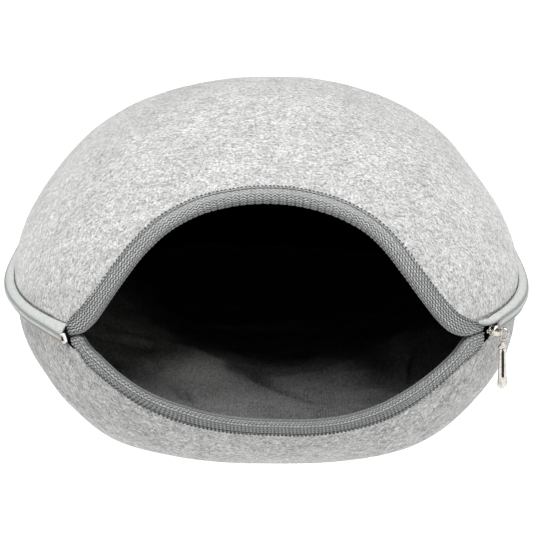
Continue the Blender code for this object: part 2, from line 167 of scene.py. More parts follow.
# The zip's section along its run.
# azimuth; heights (mm) of the seam on the dome, of the line where the tapes meet, of the lower bead's foot
ZIP_RUN = (
    (45.7, 4.9, 3.6, -6.0),
    (46.2, 4.8, 2.6, -6.0),
    (47.0, 4.5, 1.2, -6.0),
    (48.0, 4.1, 0.2, -6.0),
    (49.2, 3.8, 0.2, -5.6),
    (50.5, 3.9, 1.6, -4.6),
    (51.6, 3.9, 3.2, -3.4),
    (57.0, 4.1, 3.2, -3.6),
    (63.0, 3.9, 2.4, -4.8),
    (75.0, 3.2, 0.8, -5.6),
    (88.0, 3.0, 0.2, -5.6),
    (110.0, 3.8, 1.0, -4.0),
    (180.0, 4.1, 1.4, -3.2),
    (270.0, 4.1, 1.0, -3.2),
    (285.0, 4.1, 1.6, -2.8),
    (301.0, 4.1, 2.3, -2.4),
    (308.0, 4.1, 1.0, -3.8),
    (312.5, 3.8, -0.2, -4.8),
    (315.0, 3.4, -2.0, -6.4),
    (317.6, 3.1, -4.2, -8.0),
)
# The upper tape's loose end over the webbing: azimuth, lift off the felt and share of its reach (deg, mm).
TAPE_END_RUN = (
    (45.7, 2.0, 0.06),
    (47.0, 2.0, 0.10),
    (48.0, 1.8, 0.22),
    (49.2, 1.1, 0.5),
    (50.5, 0.3, 0.88),
    (51.6, 0.0, 1.0),
)
LOWER_SEAM_DROP = 8.0       # mm from the bead's foot to the lower tape's seam

# Weave of the webbing along each band: share of the way along; length of a full herringbone (mm);
# rise of its legs in yarn rows; share of it that rises
WEAVE_ARCH = (
    (0.00, 3.8, 0.55, 0.65),
    (0.28, 3.8, 0.60, 0.65),
    (0.38, 5.7, 0.85, 0.50),
    (0.62, 5.7, 0.85, 0.50),
    (0.72, 3.8, 0.60, 0.35),
    (1.00, 3.8, 0.55, 0.35),
)
WEAVE_LIP = (
    (0.0, 3.4, 0.45, 0.60),
    (0.3, 3.4, 0.45, 0.60),
    (0.4, 2.9, 0.50, 0.50),
    (0.7, 2.9, 0.50, 0.50),
    (1.0, 3.6, 0.45, 0.40),
)
YARN_PITCH = 2.4            # mm across the webbing
STITCH_PITCH = 3.05         # mm along it


# ---------------------------------------------------------------- the felt's surface

def plan_radius(azimuth):
    """Distance of the felt face from the middle, seen from above, at the zip line."""
    angle = math.radians(azimuth)
    across = abs(math.sin(angle)) / HALF_WIDTH
    along = abs(math.cos(angle)) / HALF_DEPTH
    return (across ** PLAN_POWER + along ** PLAN_POWER) ** (-1 / PLAN_POWER)


def smooth(t):
    """An even ease from 0, at t of 0 and below, to 1, at t of 1 and above."""
    t = min(max(t, 0.0), 1.0)
    return t * t * (3 - 2 * t)


def zip_line(azimuth):
    """Height of the zip's line: 0 round the back, and below that by the mouth's corners."""
    azimuth = (azimuth + 180) % 360 - 180
    dip = DIP_RIGHT if azimuth > 0 else DIP_LEFT
    return -dip["depth"] * smooth((dip["start"] - abs(azimuth)) / dip["span"])


def angle_at(height):
    """Angle from the pole at which a shell's side view reaches a height above or below the zip."""
    if height >= 0:
        return math.acos(min((height / DOME_RISE) ** (DOME_POWER / 2), 1.0))
    return math.acos((-height / BOWL_DEPTH) ** (BOWL_POWER / 2))


def press_flat(depth):
    """A depth below the zip, eased so that nothing reaches under the flat base."""
    over = depth - (ZIP_HEIGHT - FLAT_BLEND)
    if over <= 0:
        return depth
    if over >= 2 * FLAT_BLEND:
        return ZIP_HEIGHT
    return depth - over * over / (4 * FLAT_BLEND)


def dome_face(azimuth, angle):
    """A point on the dome's outer face, at an angle from its top."""
    reach = plan_radius(azimuth) * math.sin(angle) ** (2 / DOME_POWER)
    rise = DOME_RISE * max(math.cos(angle), 0.0) ** (2 / DOME_POWER)
    turn = math.radians(azimuth)
    return Vector((reach * math.sin(turn), -reach * math.cos(turn), ZIP_HEIGHT + rise))


def bowl_face(azimuth, angle):
    """A point on the bowl's outer face, at an angle from its base's middle."""
    reach = plan_radius(azimuth) * math.sin(angle) ** (2 / BOWL_POWER)
    depth = BOWL_DEPTH * max(math.cos(angle), 0.0) ** (2 / BOWL_POWER)
    lean = BOWL_LEAN * depth / BOWL_DEPTH
    turn = math.radians(azimuth)
    return Vector((reach * math.sin(turn) + lean, -reach * math.cos(turn), ZIP_HEIGHT - press_flat(depth)))


def felt_at(azimuth, height):
    """The point on the outer face at an azimuth and a height from the zip."""
    face = dome_face if height >= 0 else bowl_face
    return face(azimuth, angle_at(height))


def outward(point):
    """Direction straight out of the felt at a point on its outer face."""
    height = point.z - ZIP_HEIGHT
    power, tall = (DOME_POWER, DOME_RISE) if height >= 0 else (BOWL_POWER, BOWL_DEPTH)
    x = point.x - (BOWL_LEAN * -height / BOWL_DEPTH if height < 0 else 0)
    spread = (abs(x) / HALF_WIDTH) ** PLAN_POWER + (abs(point.y) / HALF_DEPTH) ** PLAN_POWER
    flank = max(spread, 1e-9) ** (power / PLAN_POWER - 1)
    normal = Vector((
        flank * abs(x) ** (PLAN_POWER - 1) / HALF_WIDTH ** PLAN_POWER * math.copysign(1, x),
        flank * abs(point.y) ** (PLAN_POWER - 1) / HALF_DEPTH ** PLAN_POWER * math.copysign(1, point.y),
        abs(height) ** (power - 1) / tall ** power * math.copysign(1, height),
    ))
    return normal.normalized()


def along_rows(rows, t):
    """A smooth curve through a table's rows: its columns at t from 0, first row, to 1, last row."""
    place = t * (len(rows) - 1)
    i = min(int(place), len(rows) - 2)
    f = place - i
    before, start, end, after = (rows[min(max(i + k, 0), len(rows) - 1)] for k in (-1, 0, 1, 2))
    return [
        0.5 * (2 * b + (c - a) * f + (2 * a - 5 * b + 4 * c - d) * f ** 2 + (3 * b - a - 3 * c + d) * f ** 3)
        for a, b, c, d in zip(before, start, end, after)
    ]


def table_at(rows, x):
    """The columns of a table at x in its first column, on smooth curves through its rows."""
    i = max(min(sum(1 for row in rows if row[0] <= x), len(rows) - 1), 1)
    a, b = rows[i - 1], rows[i]
    before, after = rows[max(i - 2, 0)], rows[min(i + 1, len(rows) - 1)]
    span = b[0] - a[0]
    f = min(max((x - a[0]) / span, 0.0), 1.0)
    out = []
    for k in range(1, len(a)):
        leave = (b[k] - before[k]) / (b[0] - before[0]) * span
        arrive = (after[k] - a[k]) / (after[0] - a[0]) * span
        out.append((1 + 2 * f) * (1 - f) ** 2 * a[k] + f * (1 - f) ** 2 * leave
                   + f * f * (3 - 2 * f) * b[k] - f * f * (1 - f) * arrive)
    return out


def spread_along(rows, count):
    """Points at equal steps along a line given by rows of azimuth and height, without its last point."""
    degree = 4      # mm along the rim, about
    lengths = [0.0]
    for a, b in zip(rows, rows[1:]):
        lengths.append(lengths[-1] + math.dist((a[0] * degree, a[1]), (b[0] * degree, b[1])))
    out = []
    for i in range(count):
        goal = lengths[-1] * i / count
        k = min(sum(1 for at in lengths[1:] if at <= goal), len(rows) - 2)
        f = (goal - lengths[k]) / (lengths[k + 1] - lengths[k])
        out.append(tuple(a + (b - a) * f for a, b in zip(rows[k], rows[k + 1])))
    return out


class Band:
    """The route of a mouth edge: places along it in mm, and points on it or round its fold."""

    def __init__(self, table, side, drop, reach):
        """side is 1 for felt above the mouth and -1 below it; drop and reach are in mm."""
        self.table = table
        self.side = side
        self.drop = drop
        self.reach = reach
        steps = 400
        points = [self.leg_point(i / steps, 0.5)[0] for i in range(steps + 1)]
        self.marks = [0.0]
        for a, b in zip(points, points[1:]):
            self.marks.append(self.marks[-1] + (b - a).length / MM)
        self.length = self.marks[-1]

    def leg_point(self, t, share):
        """Point and outward direction on the felt at t along, and share from the hem to the rim."""
        rim_azimuth, rim_height, hem_azimuth, hem_height = along_rows(self.table, t)
        point = felt_at(hem_azimuth + (rim_azimuth - hem_azimuth) * share,
                        (hem_height + (rim_height - hem_height) * share) * MM)
        return point, outward(point)

    def at(self, along):
        """t in the table at a place along the band."""
        last = len(self.marks) - 1
        low, high = 0, last
        while high - low > 1:
            middle = (low + high) // 2
            low, high = (middle, high) if self.marks[middle] <= along else (low, middle)
        f = (along - self.marks[low]) / (self.marks[high] - self.marks[low])
        return min(max((low + f) / last, 0.0), 1.0)

    def width(self, t):
        """Width of the outer leg at t, in mm."""
        return (self.leg_point(t, 0)[0] - self.leg_point(t, 1)[0]).length / MM

    def beyond(self, t):
        """The rim's point and the way from it into the mouth, square to the rim and flat with the felt."""
        rim, out = self.leg_point(t, 1)
        step = 0.004
        ahead = self.leg_point(min(t + step, 1), 1)[0] - self.leg_point(max(t - step, 0), 1)[0]
        return rim, out, ahead.cross(out).normalized() * self.side

    def drop_at(self, apart):
        """How far the rim's edge is pressed in at a distance from it, in mm."""
        return self.drop * smooth(1 - apart / DROP_SPAN)

    def point(self, t, part, share, lift):
        """A point at a lift in mm from the webbing's middle, on its outer leg, fold or inner leg."""
        if part == "outer":
            base, out = self.leg_point(t, share)
            return base + out * (WEB_STANDOFF + (lift - self.drop_at((1 - share) * self.width(t))) * MM)
        rim, out, beyond = self.beyond(t)
        middle = FELT / 2
        tall = middle + WEB_STANDOFF
        if part == "inner":
            base, out = self.leg_point(t, 1 - share * INNER_LEG / max(self.width(t), INNER_LEG))
            return base - out * (FELT + WEB_STANDOFF + lift * MM)
        turn = math.pi / 2 - math.pi * share
        if share < 0.5:
            tall -= self.drop * MM
        reach = self.reach * MM
        flat = 0.75
        across = reach * abs(math.cos(turn)) ** flat
        depth = tall * math.copysign(abs(math.sin(turn)) ** flat, math.sin(turn))
        normal = (beyond * math.cos(turn) / reach + out * math.sin(turn) / tall).normalized()
        return rim + beyond * across + out * (depth - middle) + normal * lift * MM


INNER_LEG = 8.0     # width of the webbing inside the cave (mm)
DROP_SPAN = 3.8     # distance from the rim over which its edge is pressed in (mm)
# The bands: table, side, press of the felt's rim and reach of the fold past it (mm).
arch_band = Band(ARCH, 1, 0.0, 1.8)
lip_band = Band(LIP, -1, 1.1, 1.1)


# ---------------------------------------------------------------- meshes

THREAD_MERGE = 0.002 * MM   # the points of fine textiles merge only at the same place


def linear(hex_color):
    """An sRGB hex colour as linear red, green, blue and alpha."""
    values = [int(hex_color[i:i + 2], 16) / 255 for i in (0, 2, 4)]
    return [v / 12.92 if v <= 0.04045 else ((v + 0.055) / 1.055) ** 2.4 for v in values] + [1.0]


def new_piece(name, bm, materials, replaced=(), smooth_angle=60):
    """A finished piece: its mesh at the origin, riding on the body, standing for its solids."""
    mesh = bpy.data.meshes.new(name)
    bm.to_mesh(mesh)
    bm.free()
    mesh.shade_smooth()
    mesh.set_sharp_from_angle(angle=math.radians(smooth_angle))
    for material in materials:
        mesh.materials.append(material)
    piece = bpy.data.objects.new(name, mesh)
    bpy.context.scene.collection.objects.link(piece)
    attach(piece, "root")
    if replaced:
        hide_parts(*replaced)
    return piece


def warped_grid(columns, rows, place, marks=(), merge=0.00001):
    """A grid with its vertices moved, and its doubled edges and poles merged.

    place(column, row) gives a vertex its point, and its numbers for the marks named.
    """
    bm = bmesh.new()
    bmesh.ops.create_grid(bm, x_segments=columns, y_segments=rows, size=1)
    layers = [bm.verts.layers.float.new(name) for name in marks]
    for vertex in bm.verts:
        column = round((vertex.co.x + 1) / 2 * columns)
        row = round((vertex.co.y + 1) / 2 * rows)
        vertex.co, numbers = place(column, row)
        for layer, number in zip(layers, numbers):
            vertex[layer] = number
    bmesh.ops.remove_doubles(bm, verts=bm.verts, dist=merge)
    return bm


def close_ends(bm):
    """Fills the open ends of a tube and points its faces outward."""
    bmesh.ops.holes_fill(bm, edges=[e for e in bm.edges if e.is_boundary], sides=0)
    bmesh.ops.recalc_face_normals(bm, faces=bm.faces)


def merged(target, source):
    """Adds one bmesh to another."""
    mesh = bpy.data.meshes.new("merge")
    source.to_mesh(mesh)
    source.free()
    target.from_mesh(mesh)
    bpy.data.meshes.remove(mesh)


def mark(piece, name, values):
    """Stores one number at each of a piece's vertices."""
    attribute = piece.data.attributes.new(name, "FLOAT", "POINT")
    attribute.data.foreach_set("value", values)


# ---------------------------------------------------------------- materials

MIX = {"data_type": "RGBA"}
MULTIPLY = {"data_type": "RGBA", "blend_type": "MULTIPLY"}
LAY_REACH = 200 * MM    # about the felt's distance from the axis that its fibres are laid round
LAY_STRETCH = 2.4       # how much longer than wide its grains are
RIB_PITCH = 0.55        # mm between the ribs of the zip tape


def find_socket(sockets, key):
    """A socket by its number, its identifier or its name."""
    if isinstance(key, int):
        return sockets[key]
    return next(s for s in sockets if key in (s.identifier, s.name) and s.enabled)


def add(tree, kind, settings=None, inputs=None, output=0, stops=()):
    """Adds a shader node with its settings and links, and gives one of its outputs.

    An input is a value or another node's output. The stops are a colour ramp's places and hex colours.
    """
    node = tree.nodes.new("ShaderNode" + kind)
    for name, value in (settings or {}).items():
        setattr(node, name, value)
    if stops:
        elements = node.color_ramp.elements
        for element, (place, color) in zip((elements[0], elements[1]), (stops[0], stops[-1])):
            element.position = place
            element.color = linear(color)
        for place, color in stops[1:-1]:
            elements.new(place).color = linear(color)
    for key, value in (inputs or {}).items():
        socket = find_socket(node.inputs, key)
        if isinstance(value, bpy.types.NodeSocket):
            tree.links.new(value, socket)
        else:
            socket.default_value = value
    return find_socket(node.outputs, output)


def scale_for(size):
    """A noise's scale for grains of a size in mm."""
    return 1 / (size * MM)


def new_material(name, **values):
    """A material with one Principled shader, and its values set on the shader's own sockets."""
    material = bpy.data.materials.new(name)
    material.use_nodes = True
    shader = material.node_tree.nodes["Principled BSDF"]
    for key, value in values.items():
        shader.inputs[key.replace("_", " ")].default_value = value
    return material, material.node_tree, shader


def make_felt():
    """Needled melange felt: pale wool with grey fibres laid round the front-to-back axis, matt and fuzzy.

    A wool fibre is far too fine to show, so each grain is as wide as a wisp of many.
    """
    material, tree, shader = new_material(
        "needled_melange_felt", Roughness=0.95, Sheen_Weight=0.25, Sheen_Roughness=0.6, IOR=1.45)
    place = add(tree, "TexCoord", output="Object")
    x, y, z = add(tree, "SeparateXYZ", inputs={"Vector": place}).node.outputs
    up = add(tree, "Math", {"operation": "SUBTRACT"}, {0: z, 1: ZIP_HEIGHT})
    turn = add(tree, "Math", {"operation": "ARCTAN2"}, {0: up, 1: x})
    round_axis = add(tree, "Math", {"operation": "MULTIPLY"}, {0: turn, 1: LAY_REACH / LAY_STRETCH})
    offset = add(tree, "CombineXYZ", inputs={"X": x, "Z": up})
    reach = add(tree, "VectorMath", {"operation": "LENGTH"}, {0: offset}, "Value")
    lay = add(tree, "CombineXYZ", inputs={"X": round_axis, "Y": y, "Z": reach})
    # the grains wander from their lay by a few mm
    drift = add(tree, "TexNoise", inputs={
        "Vector": place, "Scale": scale_for(16.7), "Detail": 2.0}, output="Color")
    wander = (2.2 * MM, 4.5 * MM, 4.5 * MM)
    bend = add(tree, "VectorMath", {"operation": "MULTIPLY_ADD"}, {0: drift, 1: wander, 2: lay})
    fibres = add(tree, "TexNoise", inputs={
        "Vector": bend, "Scale": scale_for(1.316), "Detail": 3.0, "Roughness": 0.65, "Distortion": 0.6})
    clumps = add(tree, "TexNoise", inputs={
        "Vector": bend, "Scale": scale_for(4), "Detail": 3.0, "Roughness": 0.6, "Distortion": 1.2})
    clouds = add(tree, "TexNoise", inputs={"Vector": place, "Scale": scale_for(38.5), "Detail": 3.0})
    fine = add(tree, "ValToRGB", inputs={"Fac": fibres}, stops=[
        (0.3, "7C7D7E"), (0.46, "BDBDBC"), (0.56, "D9D9D7"), (0.7, "F4F3F1")])
    coarse = add(tree, "ValToRGB", inputs={"Fac": clumps}, stops=[
        (0.34, "A2A3A4"), (0.5, "E2E2E1"), (0.66, "FFFFFD")])
    cloud = add(tree, "ValToRGB", inputs={"Fac": clouds}, stops=[(0.3, "EAEBEB"), (0.7, "FFFFFF")])
    # painted shade: the bowl's clumps are darker than the dome's, standing in for bump shading that the light
    # there hardly brings out
    bowl_painted_shade = add(tree, "MapRange", inputs={
        "Value": up, "From Min": -40 * MM, "From Max": -5 * MM, "To Min": 0.85, "To Max": 0.5})
    clumped = add(tree, "Mix", MULTIPLY, {
        "Factor_Float": bowl_painted_shade, "A_Color": fine, "B_Color": coarse}, "Result_Color")
    clouded = add(tree, "Mix", MULTIPLY, {
        "Factor_Float": 1.0, "A_Color": clumped, "B_Color": cloud}, "Result_Color")
    tree.links.new(clouded, shader.inputs["Base Color"])
    height = add(tree, "Math", {"operation": "MULTIPLY_ADD"}, {0: clumps, 1: 1.2, 2: fibres})
    bump = add(tree, "Bump", inputs={"Strength": 0.55, "Distance": 0.9 * MM, "Height": height})
    tree.links.new(bump, shader.inputs["Normal"])
    return material


def make_fibres():
    """Loose wool fibres on the felt, from mid grey to nearly white."""
    material, tree, shader = new_material("loose_wool_fibres", Roughness=0.9, Sheen_Weight=0.2)
    tone = add(tree, "Attribute", {"attribute_name": "tone"}, output="Fac")
    color = add(tree, "ValToRGB", inputs={"Fac": tone}, stops=[
        (0.0, "77797A"), (0.5, "B9B9B8"), (1.0, "F0EFED")])
    tree.links.new(color, shader.inputs["Base Color"])
    return material


def make_inner_face_shade():
    """The felt's inner face, painted near black as the shade inside the cave: matt wool in grains as wide as
    wisps.
    """
    material, tree, shader = new_material(
        "inner_felt_painted_shade", Roughness=1.0, Sheen_Weight=0.05, Specular_IOR_Level=0.1)
    place = add(tree, "TexCoord", output="Object")
    fibres = add(tree, "TexNoise", inputs={"Vector": place, "Scale": scale_for(2.38), "Detail": 3.0})
    color = add(tree, "ValToRGB", inputs={"Fac": fibres}, stops=[(0.3, "020202"), (0.7, "060606")])
    tree.links.new(color, shader.inputs["Base Color"])
    return material


def make_webbing():
    """Textured polyester webbing: grey yarn with a soft shine on each float and painted shade in the gaps
    between.

    The weave itself is modelled. The flecks stand for the yarn's filaments, which are too fine to show.
    """
    material, tree, shader = new_material(
        "herringbone_polyester_webbing", Roughness=0.62, Sheen_Weight=0.15, Sheen_Roughness=0.5)
    gap = add(tree, "Attribute", {"attribute_name": "gap"}, output="Fac")
    place = add(tree, "TexCoord", output="Object")
    flecks = add(tree, "TexNoise", inputs={"Vector": place, "Scale": scale_for(1.11), "Detail": 2.0})
    yarn = add(tree, "ValToRGB", inputs={"Fac": flecks}, stops=[
        (0.3, "9A9C9C"), (0.5, "B4B6B5"), (0.7, "D6D7D6")])
    # painted shade: the deeper a place lies between the yarns, the darker its colour
    color = add(tree, "Mix", MIX, {
        "Factor_Float": gap, "A_Color": yarn, "B_Color": linear("2A2C2C")}, "Result_Color")
    tree.links.new(color, shader.inputs["Base Color"])
    bump = add(tree, "Bump", inputs={"Strength": 0.4, "Distance": 0.4 * MM, "Height": flecks})
    tree.links.new(bump, shader.inputs["Normal"])
    return material


def make_thread(name, color):
    """Spun polyester sewing thread, matt, with its plies as small darker and lighter grains."""
    material, tree, shader = new_material(name, Roughness=0.7, Sheen_Weight=0.1)
    place = add(tree, "TexCoord", output="Object")
    plies = add(tree, "TexNoise", inputs={"Vector": place, "Scale": scale_for(0.667), "Detail": 1.0})
    tint = add(tree, "Mix", MIX, {
        "Factor_Float": plies, "A_Color": linear(color), "B_Color": linear("54575A")}, "Result_Color")
    tree.links.new(tint, shader.inputs["Base Color"])
    return material


def make_tape():
    """Knitted zip tape: smooth, close and pale, with fine ribs along it and painted shade in its creases.

    The grains stand for its stitches and are drawn wider than they are, so that they show.
    """
    material, tree, shader = new_material("knitted_zip_tape", Roughness=0.75, Sheen_Weight=0.1)
    ribs = add(tree, "Attribute", {"attribute_name": "across"}, output="Fac")
    phase = add(tree, "Math", {"operation": "MULTIPLY"}, {0: ribs, 1: 2 * math.pi / RIB_PITCH})
    waves = add(tree, "Math", {"operation": "SINE"}, {0: phase})
    place = add(tree, "TexCoord", output="Object")
    grain = add(tree, "TexNoise", inputs={"Vector": place, "Scale": scale_for(1.43), "Detail": 2.0})
    knit = add(tree, "ValToRGB", inputs={"Fac": grain}, stops=[(0.3, "A3A6A3"), (0.7, "BDC0BC")])
    crease_painted_shade = add(tree, "Attribute", {"attribute_name": "shade"}, output="Fac")
    # painted shade in the creases, by the tape's shade mark
    color = add(tree, "Mix", MIX, {
        "Factor_Float": crease_painted_shade, "A_Color": knit, "B_Color": linear("4E5356")}, "Result_Color")
    tree.links.new(color, shader.inputs["Base Color"])
    height = add(tree, "Math", {"operation": "MULTIPLY_ADD"}, {0: waves, 1: 0.25, 2: grain})
    bump = add(tree, "Bump", inputs={"Strength": 0.25, "Distance": 0.2 * MM, "Height": height})
    tree.links.new(bump, shader.inputs["Normal"])
    return material


def make_plain(name, color, **values):
    """A moulded or plated surface in one colour, with faint pale mottling about a millimetre wide."""
    material, tree, shader = new_material(name, **values)
    place = add(tree, "TexCoord", output="Object")
    grain = add(tree, "TexNoise", inputs={"Vector": place, "Scale": scale_for(1.25), "Detail": 2.0})
    faint = add(tree, "Math", {"operation": "MULTIPLY"}, {0: grain, 1: 0.3})
    tint = add(tree, "Mix", MIX, {
        "Factor_Float": faint, "A_Color": linear(color), "B_Color": linear("FFFFFF")}, "Result_Color")
    tree.links.new(tint, shader.inputs["Base Color"])
    return material


def make_plush():
    """Charcoal plush with short pile, its colour painted with the light and shade it gets.

    The painted light runs from 0, painted shade near black, by 1, lit, to 2, pale in full light. The pile's
    fibres are too fine to show, so its grains are as wide as a tuft.
    """
    material, tree, shader = new_material(
        "charcoal_plush", Roughness=0.95, Sheen_Weight=0.25, Sheen_Roughness=0.5, Specular_IOR_Level=0.15)
    place = add(tree, "TexCoord", output="Object")
    pile = add(tree, "TexNoise", inputs={
        "Vector": place, "Scale": scale_for(2.38), "Detail": 3.0, "Roughness": 0.6})
    painted_light = add(tree, "Attribute", {"attribute_name": "painted_light"}, output="Fac")
    raised = add(tree, "Math", {"operation": "SUBTRACT"}, {0: painted_light, 1: 1.0})
    # painted shade is near black, painted light mid grey, and painted full light pale
    dark = add(tree, "ValToRGB", inputs={"Fac": pile}, stops=[(0.3, "060606"), (0.7, "121213")])
    light = add(tree, "ValToRGB", inputs={"Fac": pile}, stops=[
        (0.3, "454645"), (0.5, "636463"), (0.7, "838483")])
    pale = add(tree, "ValToRGB", inputs={"Fac": pile}, stops=[
        (0.3, "8C8B88"), (0.5, "B5B4B1"), (0.7, "DAD9D6")])
    standing = add(tree, "Mix", MIX, {
        "Factor_Float": painted_light, "A_Color": dark, "B_Color": light}, "Result_Color")
    color = add(tree, "Mix", MIX, {
        "Factor_Float": raised, "A_Color": standing, "B_Color": pale}, "Result_Color")
    tree.links.new(color, shader.inputs["Base Color"])
    bump = add(tree, "Bump", inputs={"Strength": 0.6, "Distance": 1 * MM, "Height": pile})
    tree.links.new(bump, shader.inputs["Normal"])
    return material


def make_nickel():
    """Polished nickel plate on a zinc casting: warm grey metal, mirror-like with soft tumbled edges.

    Its stains are a few millimetres wide and a little duller or shinier than the rest.
    """
    material, tree, shader = new_material("polished_nickel_plate", Metallic=1.0, Roughness=0.2)
    place = add(tree, "TexCoord", output="Object")
    stain = add(tree, "TexNoise", inputs={"Vector": place, "Scale": scale_for(3.33), "Detail": 3.0})
    color = add(tree, "ValToRGB", inputs={"Fac": stain}, stops=[(0.35, "BDB6AC"), (0.6, "DEDAD3")])
    tree.links.new(color, shader.inputs["Base Color"])
    rough = add(tree, "MapRange", inputs={"Value": stain, "To Min": 0.14, "To Max": 0.3})
    tree.links.new(rough, shader.inputs["Roughness"])
    return material


felt = make_felt()
inner_face_shade = make_inner_face_shade()
wool = make_fibres()
webbing = make_webbing()
# real sewing thread, made dark enough to paint the shade of the seams' grooves and the stitch holes as well
dark_thread = make_thread("sewing_thread_and_painted_shade", "2C2F30")
tape = make_tape()
# the coil's nylon is made dark enough to paint the shade where the two tapes meet as well
coil = make_plain("nylon_zip_coil_and_painted_shade", "5C6469", Roughness=0.45)
copper = make_plain("bronze_coil_end", "B8A08C", Roughness=0.45, Metallic=0.7)
plush = make_plush()
nickel = make_nickel()
# black painted as the shade in the slots of the tab and the box
slot_painted_shade, _, _ = new_material("black_painted_slot_shade", Base_Color=linear("121213"), Roughness=0.7)
satin_nickel = make_plain("satin_nickel_box", "F4F3F0", Roughness=0.35, Metallic=0.3)


# ---------------------------------------------------------------- felt shells

SHELL_ROWS = 56         # from the pole to the ring that clears the mouth
HEM_ROWS = 12           # from the ring to the rim
HEM_INNER_ROWS = 5      # and back inside
INSIDE_ROWS = 28
MOUTH_COLUMNS = 170
CORNER_COLUMNS = 24
BACK_COLUMNS = 200
MOUTH_INSET = 6.5       # the webbing's last mm at each end, where the corners' own rows take over


def seam_groove(azimuth, height):
    """How far the zip's seams pull the felt in at a place on it, in mm."""
    azimuth = (azimuth + 46) % 360 - 46
    if not (ZIP_RUN[0][0] < azimuth < ZIP_RUN[-1][0]) or abs(height) > 20:
        return 0.0
    seam, _, foot = table_at(ZIP_RUN, azimuth)
    seams = (seam + 0.7, foot - LOWER_SEAM_DROP - 0.6)
    return sum(0.8 * math.exp(-((height - at) / 0.9) ** 2) for at in seams)


def soft_dents(point):
    """Slow unevenness of moulded felt, in mm."""
    return 0.9 * noise.noise(point * 14) + 0.35 * noise.noise(point * 46)


def swell(azimuth, height):
    """Extra fullness of the felt at a place on it, in mm."""
    total = 0.0
    for at, level, wide, tall, lift in SWELLS:
        apart = (azimuth - at + 180) % 360 - 180
        total += lift * math.exp(-(apart / wide) ** 2 - ((height - level) / tall) ** 2)
    return total


def pucker(azimuth, height):
    """A valley with a ridge beside it along the pucker's line, fading downwards, in mm."""
    if not (38 < azimuth < 52 and -62 < height < -16):
        return 0.0
    degree = 4.2    # mm along the bowl, about
    best = None
    for a, b in zip(PUCKER, PUCKER[1:]):
        run = ((b[0] - a[0]) * degree, b[1] - a[1])
        way = ((azimuth - a[0]) * degree, height - a[1])
        f = min(max((run[0] * way[0] + run[1] * way[1]) / (run[0] ** 2 + run[1] ** 2), 0.0), 1.0)
        off = (way[0] - run[0] * f, way[1] - run[1] * f)
        apart = math.hypot(*off)
        if best is None or apart < abs(best):
            best = math.copysign(apart, off[0])
    fade = smooth((height + 56) / 30)
    return fade * (1.0 * math.exp(-((best + 3.2) / 2.4) ** 2) - 1.1 * math.exp(-(best / 1.8) ** 2))


def shell_columns(band, side, corners):
    """The columns of a shell's grid: azimuth and height at its rim, and azimuth on its ring.

    They start behind the left corner and go by the mouth and the right corner round the back.
    """
    left, right = corners

    def zip_rim(azimuth):
        """The rim beside the zip, as azimuth and height."""
        return (azimuth, (zip_line(azimuth) + side * RIM_GAP) / MM)

    # each station holds the rim's azimuth and height, and an azimuth that sets the next one's distance
    mouth = []
    for i in range(MOUTH_COLUMNS + 1):
        t = band.at(MOUTH_INSET + (band.length - 2 * MOUTH_INSET) * i / MOUTH_COLUMNS)
        rim_azimuth, rim_height, hem_azimuth, _ = along_rows(band.table, t)
        mouth.append((rim_azimuth, rim_height, rim_azimuth + 1.6 * (hem_azimuth - rim_azimuth)))
    left_rows = [zip_rim(ZIP_TO - 360), *left, mouth[0][:2]]
    right_rows = [mouth[-1][:2], *right, zip_rim(ZIP_FROM)]
    left_points = spread_along(left_rows, CORNER_COLUMNS)
    right_points = spread_along(right_rows, CORNER_COLUMNS)[1:]
    stations = [(azimuth, height, azimuth - 1.5) for azimuth, height in left_points]
    stations += mouth
    stations += [(azimuth, height, azimuth + 1.0) for azimuth, height in right_points]
    for i in range(BACK_COLUMNS + 1):
        azimuth, height = zip_rim(ZIP_FROM + (ZIP_TO - ZIP_FROM) * i / BACK_COLUMNS)
        stations.append((azimuth, height, azimuth))
    steps = [max(b[2] - a[2], 0.06) for a, b in zip(stations, stations[1:])]
    round_all = sum(steps)
    ring_azimuth = ZIP_TO - 360
    columns = []
    for (azimuth, height, _), step in zip(stations, steps + [0]):
        columns.append((azimuth, height, ring_azimuth))
        ring_azimuth += step * 360 / round_all
    return columns


def shell_layers():
    """The layers of a shell's grid, out over its face and back inside.

    Each holds the way from the pole (0) by the ring (1) to the rim (2), and the depth in the felt.
    """
    outer = [(row / SHELL_ROWS, 0) for row in range(SHELL_ROWS)]
    hem = [(1 + row / HEM_ROWS, 0) for row in range(HEM_ROWS + 1)]
    edge = [(2, 0.15), (2, 0.85)]
    hem_inside = [(2 - row / HEM_INNER_ROWS, 1) for row in range(HEM_INNER_ROWS)]
    inside = [(1 - row / INSIDE_ROWS, 1) for row in range(INSIDE_ROWS + 1)]
    return outer + hem + edge + hem_inside + inside


def ring_height(ring, azimuth):
    """Height of the ring that clears the mouth."""
    azimuth = (azimuth + 180) % 360 - 180
    if not ring[0][0] < azimuth < ring[-1][0]:
        return ring[0][1]
    return table_at(ring, azimuth)[0]


